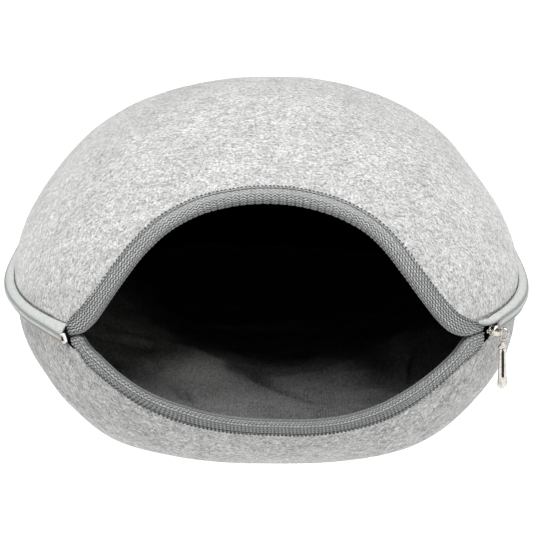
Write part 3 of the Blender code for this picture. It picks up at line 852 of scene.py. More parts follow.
def felt_shell(name, band, side, face, corners, ring, node):
    """One felt shell: a fine grid from its pole to its rim, with a pale outer face and an inner face painted
    dark as shade.
    """
    columns = shell_columns(band, side, corners)
    layers = shell_layers()
    in_mouth = range(CORNER_COLUMNS, CORNER_COLUMNS + MOUTH_COLUMNS + 1)

    def place(column, row):
        """The felt's point at a column and a layer."""
        rim_azimuth, rim_height, ring_azimuth = columns[column]
        t, depth = layers[row]
        level = ring_height(ring, ring_azimuth)
        if t < 1:
            point = face(ring_azimuth, angle_at(level * MM) * t)
            azimuth, height = ring_azimuth, (point.z - ZIP_HEIGHT) / MM
        else:
            turn = (rim_azimuth - ring_azimuth + 180) % 360 - 180
            azimuth = ring_azimuth + turn * (t - 1)
            height = level + (rim_height - level) * (t - 1)
            point = felt_at(azimuth, height * MM)
        resting = smooth((point.z - 2 * MM) / (12 * MM))
        lift = (soft_dents(point) * smooth((1 - t) * 10) + swell(azimuth, height)) * resting
        if side < 0:
            lift += pucker(azimuth, height)
        lift -= seam_groove(azimuth, height)
        if t > 1 and band.drop and column in in_mouth:
            degree = 3.9    # mm along the lip, about
            apart = math.dist((ring_azimuth * degree, level), (rim_azimuth * degree, rim_height)) * (2 - t)
            lift -= band.drop_at(apart) * (1 - depth)
        return point + outward(point) * (lift * MM - depth * FELT), ()

    bm = warped_grid(len(columns) - 1, len(layers) - 1, place)
    bmesh.ops.recalc_face_normals(bm, faces=bm.faces)
    for face_of_shell in bm.faces:
        middle = face_of_shell.calc_center_median()
        # faces turned inwards take the inner face's painted shade
        face_of_shell.material_index = int(face_of_shell.normal.dot(outward(middle)) < 0.3)
    return new_piece(name, bm, [felt, inner_face_shade], [node])


dome = felt_shell("dome_felt_shell", arch_band, 1, dome_face, (DOME_LEFT, DOME_RIGHT), DOME_RING, "dome_felt")
bowl = felt_shell("bowl_felt_shell", lip_band, -1, bowl_face, (BOWL_LEFT, BOWL_RIGHT), BOWL_RING, "bowl_felt")


def covered(band, point):
    """Whether a place on the felt lies under the webbing, by a corner's slit or on the base."""
    azimuth = math.degrees(math.atan2(point.x, -point.y))
    height = (point.z - ZIP_HEIGHT) / MM
    on_base = point.z < 4 * MM
    by_mouth = -47 < azimuth < 55 and abs(height) < 20
    if on_base or by_mouth:
        return True
    hems = [row[2:] for row in band.table]
    if not hems[0][0] < azimuth < hems[-1][0]:
        return False
    clear = 3       # mm that a fibre may reach past its root
    return band.side * (height - table_at(hems, azimuth)[0]) < clear


FIBRE_WIDTHS = (0.06, 0.2, 0.2, 0.06)   # half width at each point along a fibre (mm)
MIDDLE_TONE = 0.56


def loose_fibres(name, shell, band, count, spread, seed):
    """Short curved fibres felted into the shell's outer face, most of them along its lay.

    They are wisps of many wool fibres, thick enough to show. A smaller spread keeps their tones closer.
    """
    pick = random.Random(seed)
    mesh = shell.data
    total = sum(face.area for face in mesh.polygons if face.material_index == 0)
    bm = bmesh.new()
    tone = bm.verts.layers.float.new("tone")
    owed = 0.0
    for face in mesh.polygons:
        if face.material_index or covered(band, face.center):
            continue
        owed += face.area / total * count
        while owed > pick.random():
            owed -= 1
            corners = [mesh.vertices[i].co for i in face.vertices]
            weights = [pick.random() for _ in corners]
            root = sum((c * w for c, w in zip(corners, weights)), Vector()) / sum(weights)
            normal = face.normal
            lay = normal.cross(Vector((0, 1, 0))).cross(normal).cross(normal)
            way = Matrix.Rotation(pick.gauss(0, 0.55), 3, normal) @ lay.normalized()
            bend = pick.uniform(-0.45, 0.45)
            step = pick.uniform(1.2, 2.6) * MM
            shade = MIDDLE_TONE + spread * (pick.random() ** 0.8 - MIDDLE_TONE)
            here = root + normal * pick.uniform(0.12, 0.3) * MM
            pairs = []
            for wide in FIBRE_WIDTHS:
                side = normal.cross(way) * wide * MM
                pairs.append((bm.verts.new(here + side), bm.verts.new(here - side)))
                here = here + way * step
                way = Matrix.Rotation(bend, 3, normal) @ way
            for a, b in zip(pairs, pairs[1:]):
                bm.faces.new((a[0], a[1], b[1], b[0]))
            for vertex in (v for pair in pairs for v in pair):
                vertex[tone] = shade
    return new_piece(name, bm, [wool], (), 180)


loose_fibres("dome_fibres", dome, arch_band, count=9000, spread=0.7, seed=11)
loose_fibres("bowl_fibres", bowl, lip_band, count=10000, spread=1.0, seed=12)


# ---------------------------------------------------------------- bindings

FOLD_ROWS = 18
FOLD_BACK_ROWS = 8
LEG_ROWS = 40
INNER_ROWS = 6
INNER_BACK_ROWS = 3
BACKING_ROWS = 14
COLUMN_STEP = 0.5       # mm along the webbing
RELIEF = 0.8            # depth of the gaps between yarns (mm)
YARN_WIDTH = 0.7        # share of the pitch that a yarn fills
SEAM_INSET = 2.1        # from the webbing's hem to its running stitch (mm)


def weave_counts(rows, length, columns):
    """Number of full herringbones from the band's start to each column."""
    counts = [0.0]
    for column in range(columns):
        counts.append(counts[-1] + length / columns / table_at(rows, (column + 0.5) / columns)[0])
    return counts


def climb_at(count, lead):
    """Rise of a herringbone leg, 0 at its foot to 1 at its apex."""
    f = count - math.floor(count)
    return f / lead if f < lead else (1 - f) / (1 - lead)


def herringbone(climb, rise, across):
    """Height of the weave from 0, a gap, to 1, the top of a yarn, at a place in mm across it."""
    row = across / YARN_PITCH - rise * climb
    r = 2 * (row - math.floor(row)) - 1
    width = YARN_WIDTH * (1 - 0.55 * rise * climb ** 6) if r < 0 else YARN_WIDTH
    round_yarn = math.sqrt(max(1 - (r / width) ** 2, 0.0))
    foot = 1 - 0.8 * rise * (1 - climb) ** 4
    crown = 1 - 0.6 * rise * climb ** 4
    return round_yarn * foot * crown


def arch_weave(place, count, climb, rise, across, width):
    """The arch's weave is flatter near its hem over the crown, where it is stretched round the curve.

    Both weaves take the same values: share of the way along, herringbones so far, how far up its leg
    the place is, the leg's rise in yarn rows, and mm from the hem out of the webbing's width.
    """
    height = herringbone(climb, rise, width - across)
    crown = smooth(1.7 - abs(place - 0.5) * 5)
    share = across / width
    flat = smooth((0.72 - share) * 7)
    height = 1 - (1 - height) * (1 - 0.55 * crown * flat - 0.2 * (1 - crown) * smooth((0.3 - share) * 8))
    lower = math.floor((width - across) / YARN_PITCH - rise * climb) % 2
    return height - 0.09 * (1 - crown) * lower - 0.2 * crown * flat


def lip_weave(place, count, climb, rise, across, width):
    """The lip's weave: slanted rows of beads, and on its lower half in the middle, sunk ribs in painted
    shade.
    """
    height = herringbone(climb, rise, width - across)
    # painted shade over the lower half in the middle
    low = smooth((width - 2.8 - across) / 1.6) * smooth((0.5 - abs(place - 0.46)) * 7 - 0.7)
    rib = 0.3 + 0.17 * math.cos(2 * math.pi * count) + 0.3 * (height - 0.5)
    row = math.floor((width - across) / YARN_PITCH - rise * climb)
    beads = 0.5 + 0.5 * math.cos(2 * math.pi * (count + row / 3))
    return (0.13 + height * (0.35 + 0.65 * beads)) * (1 - low) + rib * low


def binding(name, band, node, rows, weave):
    """Webbing folded over a mouth edge, with its weave raised.

    Its section is a closed loop: the part of the section, the share of the way over it, and the face.
    """
    columns = round(band.length / COLUMN_STEP)
    counts = weave_counts(rows, band.length, columns)
    fold_length = 2 * (FELT / 2 + WEB_STANDOFF) / MM + 2 * band.reach
    loop = [("outer", i / LEG_ROWS, 1) for i in range(LEG_ROWS)]
    loop += [("fold", i / FOLD_ROWS, 1) for i in range(FOLD_ROWS)]
    loop += [("inner", i / INNER_ROWS, 1) for i in range(INNER_ROWS + 1)]
    loop += [("inner", 1 - i / INNER_BACK_ROWS, -1) for i in range(INNER_BACK_ROWS)]
    loop += [("fold", 1 - i / FOLD_BACK_ROWS, -1) for i in range(FOLD_BACK_ROWS)]
    loop += [("outer", 1 - i / BACKING_ROWS, -1) for i in range(BACKING_ROWS + 1)]

    def place(column, row):
        """The webbing's point at a column and a row of its loop, and how deep in a gap it is: its painted
        shade.
        """
        share_along = column / columns
        along = band.length * share_along
        t = band.at(along)
        part, share, face = loop[row % len(loop)]
        width = band.width(t)
        if part == "outer":
            across = share * width
        elif part == "fold":
            across = width + share * fold_length
        else:
            across = width + fold_length + share * INNER_LEG
        height = 1.0
        bulge = 0.0
        if face > 0:
            _, rise, lead = table_at(rows, share_along)
            count = counts[column] + 0.08 * noise.noise((along / 7, across / 5, 0))
            climb = climb_at(count, lead)
            height = weave(share_along, count, climb, rise, across, width)
            if part == "fold":
                # over the fold the weave sinks and is painted darker; on the lip the painted shade deepens as
                # it turns into the mouth
                height *= max(0.95 - 0.7 * share, 0.45) if band.drop else 0.7 + 0.3 * climb
                bulge = 0.4 * rise * climb * math.sin(math.pi * share)
            # the running stitch's groove, sunk and darkened with painted shade
            groove = math.exp(-((across - SEAM_INSET) / 0.4) ** 2)
            height -= groove * (0.3 + 0.3 * math.sin(2 * math.pi * along / STITCH_PITCH))
            height = max(height, 0.0)
        lift = face * (WEBBING / MM / 2) + ((height - 1) * RELIEF + bulge) * face
        return band.point(t, part, share, lift), (1 - height,)

    bm = warped_grid(columns, len(loop), place, ["gap"], THREAD_MERGE)
    close_ends(bm)
    return new_piece(name, bm, [webbing], [node], smooth_angle=180)


arch_piece = binding("arch_webbing", arch_band, "arch_binding", WEAVE_ARCH, arch_weave)
lip_piece = binding("lip_webbing", lip_band, "lip_binding", WEAVE_LIP, lip_weave)


def stitch(length, radius, place, along, out):
    """One stitch: a small capsule lying along a direction."""
    bm = bmesh.new()
    bmesh.ops.create_uvsphere(bm, u_segments=6, v_segments=5, radius=1)
    side = along.cross(out).normalized()
    turn = Matrix((side, out, along)).transposed().to_4x4()
    bmesh.ops.transform(bm, verts=bm.verts, matrix=Matrix.Translation(place) @ turn @ Matrix.Diagonal(
        (radius * MM, radius * MM, length * MM / 2, 1)))
    return bm


def hem_stitches(name, band):
    """A running stitch inside the webbing's hem, and overedge stitches along its edge, dark enough to paint
    their holes' shade.

    On the lip the overedge stitches are finer towards the corners, where they sink into the weave.
    """
    bm = bmesh.new()
    count = round(band.length / STITCH_PITCH)
    for i in range(1, count):
        along_mm = band.length * i / count
        t = band.at(along_mm)
        width = band.width(t)
        here, out = band.leg_point(t, SEAM_INSET / width)
        ahead = (band.leg_point(min(t + 0.003, 1), SEAM_INSET / width)[0] - here).normalized()
        merged(bm, stitch(2.1, 0.34, here + out * (WEB_STANDOFF + 0.3 * MM), ahead, out))
        edge, out = band.leg_point(t, 0.15 / width)
        thick = 0.42 if band.drop and not 0.2 < i / count < 0.74 else 0.68
        merged(bm, stitch(1.9, thick, edge + out * (WEB_STANDOFF + 0.2 * MM), ahead, out))
    return new_piece(name, bm, [dark_thread])


arch_stitches = hem_stitches("arch_stitches", arch_band)
lip_stitches = hem_stitches("lip_stitches", lip_band)


# ---------------------------------------------------------------- zip

# Middle line of each tape from the felt outwards: outward from the felt face (mm); share of the way
# down, from the seam to the meeting line or from that to the foot; extra height (mm); painted shade
# in the creases, from 0 to 1
UPPER_LINE = (
    (-0.4, 0.0, -0.5, 0.6),
    (0.7, 0.0, -0.15, 0.25),
    (2.0, 0.12, 0.1, 0.0),
    (3.5, 0.32, 0.25, 0.0),
    (5.0, 0.55, 0.25, 0.0),
    (6.4, 0.8, 0.1, 0.1),
    (7.4, 1.0, -0.4, 0.6),
)
LOWER_LINE = (
    (6.6, 0.0, -1.7, 1.0),
    (7.8, 0.12, -0.9, 0.3),
    (8.5, 0.4, -0.3, 0.0),
    (8.5, 0.65, -0.1, 0.0),
    (7.9, 0.86, 0.1, 0.3),
    (6.5, 0.95, 0.0, 1.0),
    (6.9, 1.0, -1.0, 0.5),
    (6.7, 1.0, -1.9, 0.2),
    (5.2, 1.0, -3.4, 0.2),
    (3.3, 1.0, -4.9, 0.25),
    (1.6, 1.0, -6.4, 0.3),
    (0.4, 1.0, -7.5, 0.6),
)
TAPE_HALF = 0.55        # half the tapes' thickness (mm)
TAPE_COLUMNS = 300
UPPER_FROM = 45.7       # where the upper tape starts, by the slider (deg)
LOWER_FROM = 50.2
TAPE_TO = 317.5


def zip_point(azimuth, out, height):
    """A point by the zip: level outward from the felt face at a height, in mm."""
    base = felt_at(azimuth, height * MM)
    level = outward(base)
    level.z = 0
    return base + level.normalized() * out * MM


def tape_line(azimuth, line, upper):
    """A tape's middle line at an azimuth, as outward distances and heights."""
    seam, meeting, foot = table_at(ZIP_RUN, azimuth)
    start, end = (seam, meeting) if upper else (meeting, foot)
    lift, reach = table_at(TAPE_END_RUN, azimuth) if upper else (0.0, 1.0)
    return [(lift + reach * out, start + (end - start) * share + extra) for out, share, extra, _ in line]


def round_line(line, half):
    """The outline of a strip with rounded ends about a line, going round it."""
    one_side, other_side = [], []
    for i, (out, height) in enumerate(line):
        a, b = line[max(i - 1, 0)], line[min(i + 1, len(line) - 1)]
        length = math.dist(a, b)
        normal = (-(b[1] - a[1]) / length * half, (b[0] - a[0]) / length * half)
        one_side.append((out + normal[0], height + normal[1]))
        other_side.append((out - normal[0], height - normal[1]))
    tip, before = line[-1], line[-2]
    length = math.dist(tip, before)
    nose = (tip[0] + (tip[0] - before[0]) / length * half, tip[1] + (tip[1] - before[1]) / length * half)
    return one_side + [nose] + other_side[::-1]


def zip_tape(name, line, upper, start, node):
    """One tape of the zip, rolled as its line says, with its ribs marked and painted shade in its creases."""
    crease_painted_shades = [row[3] for row in line]
    crease_painted_shades = crease_painted_shades + [crease_painted_shades[-1]] + crease_painted_shades[::-1]
    count = len(crease_painted_shades)

    def place(column, row):
        """The tape's point at a column and a place round its outline, its way round it and its shade."""
        row %= count
        azimuth = start + (TAPE_TO - start) * column / TAPE_COLUMNS
        outline = round_line(tape_line(azimuth, line, upper), TAPE_HALF)
        across = sum(math.dist(a, b) for a, b in zip(outline[:row], outline[1:row + 1]))
        return zip_point(azimuth, *outline[row]), (across, crease_painted_shades[row])

    bm = warped_grid(TAPE_COLUMNS, count, place, ["across", "shade"], THREAD_MERGE)
    close_ends(bm)
    return new_piece(name, bm, [tape], [node], smooth_angle=75)


upper_tape = zip_tape("upper_tape_knit", UPPER_LINE, True, UPPER_FROM, "zip_tape_upper")
lower_tape = zip_tape("lower_tape_knit", LOWER_LINE, False, LOWER_FROM, "zip_tape_lower")


def cord_along_zip(name, route, radius, span, material, sides=8, columns=TAPE_COLUMNS):
    """A thin round cord that runs along the zip; route gives its place at an azimuth, in mm."""
    def place(column, row):
        """The cord's point at a column along it and a row round it."""
        azimuth = span[0] + (span[1] - span[0]) * column / columns
        turn = 2 * math.pi * row / sides
        out, height = route(azimuth)
        return zip_point(azimuth, out + radius * math.cos(turn), height + radius * math.sin(turn)), ()

    bm = warped_grid(columns, sides, place, merge=THREAD_MERGE)
    close_ends(bm)
    return new_piece(name, bm, [material])


def meeting_route(azimuth):
    """Under the line where the tapes meet."""
    _, meeting, _ = table_at(ZIP_RUN, azimuth)
    return 8.0, meeting - 0.85


def upper_seam_route(azimuth):
    """Along the upper tape's seam on the dome."""
    seam, _, _ = table_at(ZIP_RUN, azimuth)
    return table_at(TAPE_END_RUN, azimuth)[0] + 0.3, seam + 0.55


def lower_seam_route(azimuth):
    """Along the lower tape's seam on the bowl."""
    _, _, foot = table_at(ZIP_RUN, azimuth)
    return 0.3, foot - LOWER_SEAM_DROP - 0.3


def bead_route(azimuth):
    """Through the middle of the lower tape's bead."""
    _, meeting, foot = table_at(ZIP_RUN, azimuth)
    return 8.2, meeting + (foot - meeting) * 0.55


whole_zip = (LOWER_FROM, TAPE_TO)
# the coil, dark enough to paint the shade along the line where the tapes meet
zip_coil = cord_along_zip("zip_coil_edge", meeting_route, 0.5, whole_zip, coil)
# the seam threads are dark enough to paint the shade along the seams' grooves too
upper_seam = cord_along_zip("upper_seam_thread", upper_seam_route, 0.36, (48.5, TAPE_TO), dark_thread, 6)
lower_seam = cord_along_zip("lower_seam_thread", lower_seam_route, 0.32, whole_zip, dark_thread, 6)
bronze_end = cord_along_zip(
    "bronze_coil_end", bead_route, 1.15, (TAPE_TO - 1.3, TAPE_TO + 0.3), copper, sides=10, columns=8)


# ---------------------------------------------------------------- hardware

# Places on the felt are azimuths (deg) and heights (m); sizes are in mm, and outward distances are
# from the felt's face.
SLIDER_AZIMUTH = 49.2
SLIDER_HEIGHT = -5.6 * MM
SLIDER_BACK = 2.9       # outward, the back plate's back
SLIDER_FACE = 8.3       # outward, the front plate's face
SLIDER_PLATE = 1.1      # thickness of each plate
SLIDER_SINK = 0.2       # how deep the post goes into each plate
BRIDGE_REACH = 12.9     # outward, the bridge's top
BRIDGE_SPAN = 7.4
BRIDGE_STRAP = (1.2, 4.0)   # thickness and width
BRIDGE_SINK = 0.4       # how deep its feet go into the front plate
RING_CENTRE = 14.4      # outward
RING_RADIUS = 4.65
RING_WIRE = 0.68        # radius of the wire
TAB_LENGTH = 45
TAB_HALF = 0.9          # half its thickness
TAB_TURN = -26          # about its length, from facing straight out (deg)
TAB_SWAY = 5.0          # from upright, about the outward direction (deg)
TAB_SHIFT = 0.9         # how far along the zip the eye hangs from the ring's middle
TAB_HANG = 0.8          # play between the ring and the eye
EYE_OUTER = 2.6
EYE_INNER = 1.7
BULB_RADIUS = 4.3
BOX_AZIMUTH = -41.8
BOX_HEIGHT = -5.8 * MM
BOX_TILT = 24           # from upright, about the outward direction (deg)


def stand_on_felt(azimuth, height):
    """Frame on the felt face: X along the zip, Y outward, Z up."""
    origin = felt_at(azimuth, height)
    turn = math.radians(azimuth)
    out = Vector((math.sin(turn), -math.cos(turn), 0))
    along = out.cross(Vector((0, 0, 1)))
    stand = Matrix((along, out, Vector((0, 0, 1)))).transposed().to_4x4()
    stand.translation = origin
    return stand


def soften(bm, sharper, edge):
    """Rounds the edges whose faces turn by more than an angle."""
    edges = [e for e in bm.edges if e.calc_face_angle(0) > sharper]
    bmesh.ops.bevel(bm, geom=edges, offset=edge, segments=2, profile=0.5, affect="EDGES", material=-1)


def plate(outline, low, high, edge):
    """A flat plate in mm from an outline in X and Z, between two outward distances, with soft edges."""
    bm = bmesh.new()
    face = bm.faces.new([bm.verts.new((x, low, z)) for x, z in outline])
    bmesh.ops.extrude_face_region(bm, geom=[face])
    bmesh.ops.translate(bm, verts=list(face.verts), vec=(0, high - low, 0))
    bmesh.ops.recalc_face_normals(bm, faces=bm.faces)
    soften(bm, 0.6, edge)
    return bm


def rounded(half_length, half_wide, power, taper, count=32):
    """An outline round the origin: a rounded rectangle, narrower towards +X by taper."""
    points = []
    for i in range(count):
        turn = 2 * math.pi * i / count
        c, s = math.cos(turn), math.sin(turn)
        x = half_length * math.copysign(abs(c) ** (2 / power), c)
        z = half_wide * math.copysign(abs(s) ** (2 / power), s)
        points.append((x, z * (1 - taper * (x / half_length + 1) / 2)))
    return points


# Half of the slider's plate, and a flange at its edge: along the zip towards the mouth, and half its width.
SLIDER_OUTLINE = (
    (-5.5, 3.3), (-4.9, 4.2), (-3.4, 4.8), (-1.0, 4.6), (0.8, 3.9), (1.9, 2.6), (2.7, 1.7), (4.9, 1.4),
    (5.5, 0.8),
)
SLIDER_FLANGE = ((-5.0, 3.1), (-4.6, 4.1), (-1.0, 4.4), (0.6, 3.6), (0.6, 3.0))


def build_slider():
    """The slider: two plates on a post, their flanges, and the bridge that holds the ring."""
    outline = list(SLIDER_OUTLINE) + [(x, -z) for x, z in reversed(SLIDER_OUTLINE)]
    front = SLIDER_FACE - SLIDER_PLATE
    back = SLIDER_BACK + SLIDER_PLATE
    bm = plate(outline, front, SLIDER_FACE, 0.3)
    merged(bm, plate(outline, SLIDER_BACK, back, 0.3))
    merged(bm, plate(rounded(2.6, 1.5, 2.4, 0.3), back - SLIDER_SINK, front + SLIDER_SINK, 0.1))
    for side in (-1, 1):
        flange = [(x, side * z) for x, z in SLIDER_FLANGE]
        merged(bm, plate(flange, front - 1.3, front + 0.3, 0.2))
        merged(bm, plate(flange, back - 0.2, back + 0.9, 0.2))
    strap = bmesh.new()
    foot = Matrix.Translation((BRIDGE_SPAN / 2, 0, 0)) @ Matrix.Rotation(math.radians(90), 4, "X")
    section = Matrix.Diagonal((*BRIDGE_STRAP, 1, 1))
    bmesh.ops.create_grid(strap, x_segments=1, y_segments=1, size=0.5, matrix=foot @ section)
    bmesh.ops.spin(strap, geom=list(strap.faces), cent=(0, 0, 0), axis=(0, 0, 1), dvec=(0, 0, 0),
                   angle=math.pi, steps=20, use_merge=False)
    bmesh.ops.recalc_face_normals(strap, faces=strap.faces)
    soften(strap, 1.2, 0.25)
    bmesh.ops.scale(strap, verts=strap.verts, vec=(1, (BRIDGE_REACH - SLIDER_FACE) / (BRIDGE_SPAN / 2), 1))
    bmesh.ops.translate(strap, verts=strap.verts, vec=(0, SLIDER_FACE - BRIDGE_SINK, 0))
    merged(bm, strap)
    place_hardware(bm, stand_on_felt(SLIDER_AZIMUTH, SLIDER_HEIGHT))
    return new_piece("slider_casting", bm, [nickel], ["zip_slider"], 40)


def place_hardware(bm, stand):
    """Moves a shape modelled in mm to its place."""
    bmesh.ops.transform(bm, verts=bm.verts, matrix=stand @ Matrix.Scale(MM, 4))


def build_ring():
    """The wire ring through the slider's bridge."""
    bm = bmesh.new()
    wire = Matrix.Translation((0, RING_RADIUS, 0))
    bmesh.ops.create_circle(bm, segments=12, radius=RING_WIRE, matrix=wire)
    bmesh.ops.spin(bm, geom=list(bm.edges), cent=(0, 0, 0), axis=(1, 0, 0), dvec=(0, 0, 0),
                   angle=2 * math.pi, steps=48, use_merge=True)
    bmesh.ops.remove_doubles(bm, verts=bm.verts, dist=0.001)
    bmesh.ops.recalc_face_normals(bm, faces=bm.faces)
    bmesh.ops.translate(bm, verts=bm.verts, vec=(0, RING_CENTRE, 0))
    place_hardware(bm, stand_on_felt(SLIDER_AZIMUTH, SLIDER_HEIGHT))
    return new_piece("ring_wire", bm, [nickel], ["pull_ring"])


def arc(centre, radius, start, end, steps):
    """Points on an arc about a place on the vertical axis."""
    turns = [math.radians(start + (end - start) * i / steps) for i in range(steps + 1)]
    return [(radius * math.cos(turn), centre + radius * math.sin(turn)) for turn in turns]


def ribbon_loop(outer, inner, low, high, edge):
    """A flat frame between an outer and an inner outline with the same number of points."""
    bm = bmesh.new()
    outside, inside = ([bm.verts.new((x, low, z)) for x, z in outline] for outline in (outer, inner))
    ahead = [(i + 1) % len(outer) for i in range(len(outer))]
    faces = [bm.faces.new((outside[i], outside[j], inside[j], inside[i])) for i, j in enumerate(ahead)]
    bmesh.ops.solidify(bm, geom=faces, thickness=high - low)
    bmesh.ops.recalc_face_normals(bm, faces=bm.faces)
    soften(bm, 1.0, edge)
    return bm


# The pull tab's outlines in mm down from its eye: its neck, and one side of its bar round the slot.
TAB_NECK = (
    (-1.3, -4.6), (1.3, -4.6), (1.15, -6.2), (2.6, -7.6), (3.4, -8.0), (3.4, -9.4), (2.7, -10.2),
    (-2.7, -10.2), (-3.4, -9.4), (-3.4, -8.0), (-2.6, -7.6), (-1.15, -6.2),
)
TAB_BAR = (
    (2.8, -10.0), (2.9, -16.0), (3.1, -22.0), (3.4, -28.0), (3.7, -34.0), (3.9, -36.5),
    (0.15, -36.0), (1.2, -34.5), (1.2, -28.0), (1.15, -20.0), (1.05, -12.6), (0.15, -11.0),
)
TAB_CHIN = ((3.95, -36.2), (1.3, -35.4), (0, -36.6), (-1.3, -35.4), (-3.95, -36.2))
TAB_WEB = ((-1.4, -11.0), (1.4, -11.0), (1.4, -35.6), (-1.4, -35.6))


def painted_slot_shade(bm):
    """Gives a shape the second material, black painted as the shade of a slot."""
    for face in bm.faces:
        face.material_index = 1
    return bm


def build_tab():
    """The pull tab: an eye, a cone neck, a shoulder with two feet, a slotted bar and a round end."""
    eye = (-90, 255, 23)    # an arc's start, end and steps, open at its last side for the closing face
    bm = ribbon_loop(arc(-EYE_OUTER, EYE_OUTER, *eye), arc(-EYE_OUTER, EYE_INNER, *eye),
                     -TAB_HALF * 0.8, TAB_HALF * 0.8, 0.3)
    merged(bm, plate(TAB_NECK, -TAB_HALF, TAB_HALF, 0.3))
    for side in (-1, 1):
        merged(bm, plate([(side * x, z) for x, z in TAB_BAR], -TAB_HALF, TAB_HALF, 0.35))
    end = -TAB_LENGTH + BULB_RADIUS
    bulb = arc(end, BULB_RADIUS, 180, 360, 14) + list(TAB_CHIN)
    merged(bm, plate(bulb, -TAB_HALF, TAB_HALF, 0.4))
    boss = arc(end, 2.6, 0, 330, 12)
    merged(bm, plate(boss, -TAB_HALF - 0.25, TAB_HALF + 0.25, 0.2))
    # a thin black plate across the slot, painted as its shade
    merged(bm, painted_slot_shade(plate(TAB_WEB, -TAB_HALF * 0.45, TAB_HALF * 0.35, 0.05)))
    eye_top = -RING_RADIUS + RING_WIRE + TAB_HANG + EYE_OUTER - EYE_INNER
    hang = Matrix.Translation(Vector((TAB_SHIFT, RING_CENTRE, eye_top)) * MM)
    turn = Matrix.Rotation(math.radians(TAB_TURN), 4, "Z")
    sway = Matrix.Rotation(math.radians(TAB_SWAY), 4, "Y")
    place_hardware(bm, stand_on_felt(SLIDER_AZIMUTH, SLIDER_HEIGHT) @ hang @ turn @ sway)
    return new_piece("tab_casting", bm, [nickel, slot_painted_shade], ["pull_tab"], 40)


def build_box():
    """The box at the zip's end: a folded metal sleeve, open in a slot."""
    bm = ribbon_loop(rounded(2.3, 3.9, 5, 0), rounded(0.6, 1.4, 5, 0), 8.2, 9.8, 0.3)
    merged(bm, plate(rounded(2.2, 3.8, 5, 0), 6.0, 8.0, 0.3))
    # a black plate in the sleeve's slot, painted as the shade inside
    merged(bm, painted_slot_shade(plate(rounded(0.8, 1.9, 5, 0), 7.9, 8.6, 0.05)))
    tilt = Matrix.Rotation(math.radians(BOX_TILT), 4, "Y")
    place_hardware(bm, stand_on_felt(BOX_AZIMUTH, BOX_HEIGHT) @ tilt)
    return new_piece("box_casting", bm, [satin_nickel, slot_painted_shade], ["zip_box"], 40)


build_slider()
build_ring()
build_tab()
build_box()


# ---------------------------------------------------------------- cushion

def cad_copy(node):
    """A merged copy of a solid's mesh."""
    bm = bmesh.new()
    bm.from_mesh(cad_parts[node].data)
    bmesh.ops.remove_doubles(bm, verts=bm.verts, dist=0.00001)
    bmesh.ops.recalc_face_normals(bm, faces=bm.faces)
    return bm


# The cushion's crest, left to right, which hides the low middle behind it: x, y and lift (mm).
CREST = (
    (-172, 60, 4),
    (-140, 28, 10),
    (-108, 2, 17),
    (-76, -20, 21),
    (-40, -40, 17),
    (-12, -60, 9),
    (14, -60, 9),
    (50, -54, 12),
    (70, -40, 15),
    (98, -28, 17),
    (122, -18, 18),
    (140, -22, 13),
    (165, -45, 4),
)
# Creases (a lift below 0) and small ridges in its top: from x, y to x, y, half width and lift (mm).
CREASES = (
    (-8, -60, 40, -118, 5, -4),
    (-30, -48, 2, -66, 6, -3),
    (-116, -88, -94, -58, 5, -6),
    (-77, -94, -67, -122, 4, -3),
    (-66, -98, -60, -124, 3, -3),
    (102, -50, 114, -104, 14, -7),
    (124, -42, 131, -62, 6, 2),
    (-172, -36, -104, -26, 7, -5),
    (-164, -6, -104, -2, 7, -5),
    (-150, -60, -108, -52, 8, 3),
    (60, -70, 96, -64, 9, 3),
    (-60, -74, -20, -92, 14, 3),
)


def way_from(x, y, a, b):
    """Distance from a place to a line from a to b, with its sign, and the share along the line."""
    run = (b[0] - a[0], b[1] - a[1])
    f = min(max(((x - a[0]) * run[0] + (y - a[1]) * run[1]) / (run[0] ** 2 + run[1] ** 2), 0.0), 1.0)
    off = (x - a[0] - run[0] * f, y - a[1] - run[1] * f)
    return math.copysign(math.hypot(*off), run[0] * off[1] - run[1] * off[0]), f


def crest_at(x, y):
    """How far behind the crest a place lies, and the crest's lift there, in mm."""
    best, lift = None, 0.0
    for a, b in zip(CREST, CREST[1:]):
        apart, f = way_from(x, y, a, b)
        if best is None or abs(apart) < abs(best):
            best, lift = apart, a[2] + (b[2] - a[2]) * f
    return best, lift


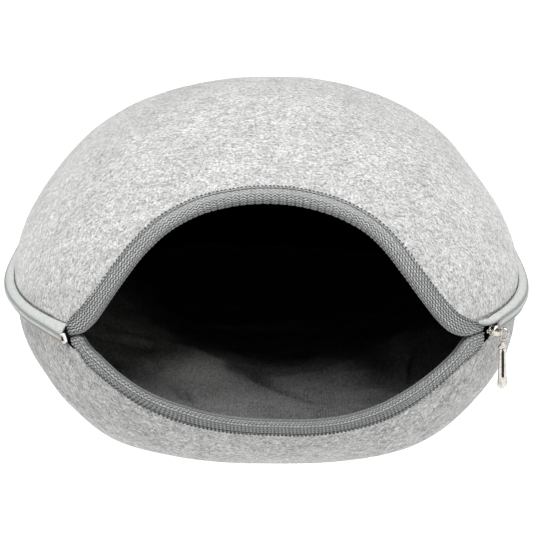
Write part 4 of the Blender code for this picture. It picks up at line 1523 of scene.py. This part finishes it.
def cushion_shape(x, y):
    """Lift of the cushion's top at a place, and its painted light and shade, from 0 to 2."""
    behind, crest = crest_at(x, y)
    # behind the crest the painted light fades to painted shade, where the light through the mouth hardly
    # reaches
    if behind > 0:
        lift = crest * math.exp(-(behind / 42) ** 2)
        painted_light = 0.6 * (1 - smooth((behind + 1) / 7)) + 0.4 * (1 - smooth(behind / 74))
    else:
        lift = crest * math.exp(-(behind / 52) ** 2)
        painted_light = 1.0
    # the front sinks towards the lip, except at the corners
    lift -= 9 * smooth((-y - 100) / 55) * smooth((150 - abs(x)) / 60)
    for x1, y1, x2, y2, wide, deep in CREASES:
        apart, _ = way_from(x, y, (x1, y1), (x2, y2))
        fold = math.exp(-(apart / wide) ** 2)
        lift += deep * fold
        # painted shade in the creases
        painted_light *= 1 - 0.5 * fold * (deep < 0)
    # painted shade on the sides, which lie in the shade of the bowl's corners
    painted_light *= 1 - (0.15 if x < 0 else 0.55) * smooth((abs(x + 2) - 66) / 60)
    # painted light on both sides behind the crest as well
    painted_light = max(painted_light, 0.9 * smooth((-x - 40) / 60) * smooth((80 - behind) / 60))
    painted_light = max(painted_light, 0.6 * smooth((x - 60) / 40) * smooth((36 - behind) / 30))
    # painted shade all round its edge
    painted_light *= 1 - (0.2 if x < 0 else 0.36) * smooth((math.hypot(x / 200, y / 190) - 0.5) / 0.35)
    # painted light out at the sides
    painted_light *= 1 + smooth((-x - 5) / 60) * (0.12 + 0.95 * smooth((y + 94) / 50))
    painted_light *= 1 + 0.9 * smooth((x - 92) / 24)
    # painted shade over the middle
    painted_light *= 1 - 0.14 * smooth((x + 20) / 20) * smooth((100 - x) / 20)
    # soft lumps of the filling, about 2 cm and 1 cm wide
    lift += 2.2 * noise.noise((x / 21, y / 15, 1.7)) + 0.9 * noise.noise((x / 8, y / 6, 4.1))
    return lift, min(0.06 + 0.94 * painted_light, 2.0)


def build_cushion():
    """The cushion: an evenly remeshed copy of its solid, folded by its tables, with the pile set on it."""
    mesh = bpy.data.meshes.new("cushion_base")
    bm = cad_copy("cushion")
    bm.to_mesh(mesh)
    bm.free()
    base = bpy.data.objects.new("cushion_base", mesh)
    bpy.context.scene.collection.objects.link(base)
    remesh = base.modifiers.new("even_faces", "REMESH")
    remesh.mode = "VOXEL"
    remesh.voxel_size = 4.5 * MM
    even = bpy.data.meshes.new_from_object(base.evaluated_get(bpy.context.evaluated_depsgraph_get()))
    bpy.data.objects.remove(base)
    bm = bmesh.new()
    bm.from_mesh(even)
    bmesh.ops.smooth_vert(bm, verts=bm.verts, factor=0.5, use_axis_x=True, use_axis_y=True, use_axis_z=True)
    top = [e for e in bm.edges if all(v.normal.z > 0 for v in e.verts)]
    bmesh.ops.subdivide_edges(bm, edges=top, cuts=1, use_grid_fill=True)
    bm.normal_update()
    painted_lights = {}
    for vertex in bm.verts:
        lift, painted_light = cushion_shape(vertex.co.x / MM, vertex.co.y / MM)
        weight = smooth(vertex.normal.z * 2.5)
        vertex.co.z += lift * MM * weight
        painted_lights[vertex.index] = painted_light
    bm.normal_update()
    tufts = pile_on(bm)
    values = [painted_lights[i] for i in range(len(bm.verts))]
    piece = new_piece("plush_cushion", bm, [plush], ["cushion"], 180)
    mark(piece, "painted_light", values)
    pile = new_piece("plush_pile", tufts, [plush], (), 180)
    mark(pile, "painted_light", [cushion_shape(v.co.x / MM, v.co.y / MM)[1] for v in pile.data.vertices])
    return piece


TUFT_SPACING = 1.25 * MM
PILE_BACK = 60 * MM         # nothing behind this can be seen through the mouth


def pile_on(cushion):
    """Short tapered tufts over the part of the cushion's top that shows, leaning in slow drifts."""
    pick = random.Random(7)
    bm = bmesh.new()
    for face in cushion.faces:
        if face.normal.z < 0.15 or face.calc_center_median().y > PILE_BACK:
            continue
        wanted = face.calc_area() / TUFT_SPACING ** 2
        for _ in range(int(wanted + pick.random())):
            weights = [pick.random() + 0.05 for _ in face.verts]
            root = sum((v.co * w for v, w in zip(face.verts, weights)), Vector()) / sum(weights)
            drift = Vector((noise.noise(root * 30), noise.noise(root * 30 + Vector((5, 5, 5))) - 0.3, 0.0))
            stray = Vector((pick.uniform(-0.4, 0.4), pick.uniform(-0.4, 0.4), 0))
            lean = (face.normal + drift + stray).normalized()
            side = lean.orthogonal().normalized()
            other = lean.cross(side)
            size = pick.uniform(0.28, 0.5) * MM
            turns = (0.0, 2.1, 4.2)
            ring = [bm.verts.new(root + (side * math.cos(a) + other * math.sin(a)) * size) for a in turns]
            tip = bm.verts.new(root + lean * pick.uniform(1.4, 2.6) * MM)
            for i in range(3):
                bm.faces.new((ring[i], ring[(i + 1) % 3], tip))
    return bm


build_cushion()


# ---------------------------------------------------------------- studio

# Large soft lights: name, azimuth from the front, elevation and width of its disk (deg), strength.
SOFT_LIGHTS = (
    ("soft_top_light", 0, 72, 40, 4.05),
    ("soft_left_light", -90, 4, 80, 1.0),
    ("soft_right_light", 90, 4, 80, 1.18),
)


def build_floor():
    """A plain white light table: opal sheet, lit a little from beneath."""
    bm = bmesh.new()
    bmesh.ops.create_grid(bm, x_segments=1, y_segments=1, size=6)
    bmesh.ops.translate(bm, verts=bm.verts, vec=(0, 0, -0.0005))
    mesh = bpy.data.meshes.new("floor")
    bm.to_mesh(mesh)
    bm.free()
    material, _, shader = new_material("white_studio_floor", Roughness=0.9, Specular_IOR_Level=0.1)
    shader.inputs["Base Color"].default_value = (0.02, 0.02, 0.02, 1)
    shader.inputs["Emission Color"].default_value = (1, 1, 1, 1)
    shader.inputs["Emission Strength"].default_value = 1.22
    mesh.materials.append(material)
    floor = bpy.data.objects.new("floor", mesh)
    bpy.context.scene.collection.objects.link(floor)


def build_studio():
    """The floor, a dim white room and the three soft lights."""
    build_floor()
    world = bpy.data.worlds.new("soft_white_room")
    world.use_nodes = True
    world.node_tree.nodes["Background"].inputs["Color"].default_value = (1, 1, 1, 1)
    world.node_tree.nodes["Background"].inputs["Strength"].default_value = 0.15
    bpy.context.scene.world = world
    for name, azimuth, elevation, disk, energy in SOFT_LIGHTS:
        lamp = bpy.data.lights.new(name, "SUN")
        lamp.energy = energy
        lamp.angle = math.radians(disk)
        turn, rise = math.radians(azimuth), math.radians(elevation)
        toward = Vector((math.sin(turn) * math.cos(rise), -math.cos(turn) * math.cos(rise), math.sin(rise)))
        light = bpy.data.objects.new(name, lamp)
        light.rotation_euler = toward.to_track_quat("Z", "Y").to_euler()
        bpy.context.scene.collection.objects.link(light)
    bpy.context.scene.view_settings.view_transform = "Standard"


def build_camera():
    """A camera in front of the mouth, looking down by 20 degrees at the middle of the zip's ring."""
    data = bpy.data.cameras.new("camera")
    data.sensor_width = 36
    data.lens = 92.3
    camera = bpy.data.objects.new("camera", data)
    distance = 1.2
    down = math.radians(20)
    camera.location = (0, -distance * math.cos(down), ZIP_HEIGHT + distance * math.sin(down))
    lower = math.radians(0.48)
    roll = math.radians(0.41)
    camera.matrix_world = Matrix.Translation(camera.location) @ Matrix.Rotation(
        math.pi / 2 - down - lower, 4, "X") @ Matrix.Rotation(roll, 4, "Z")
    bpy.context.scene.collection.objects.link(camera)
    bpy.context.scene.camera = camera


build_studio()
build_camera()
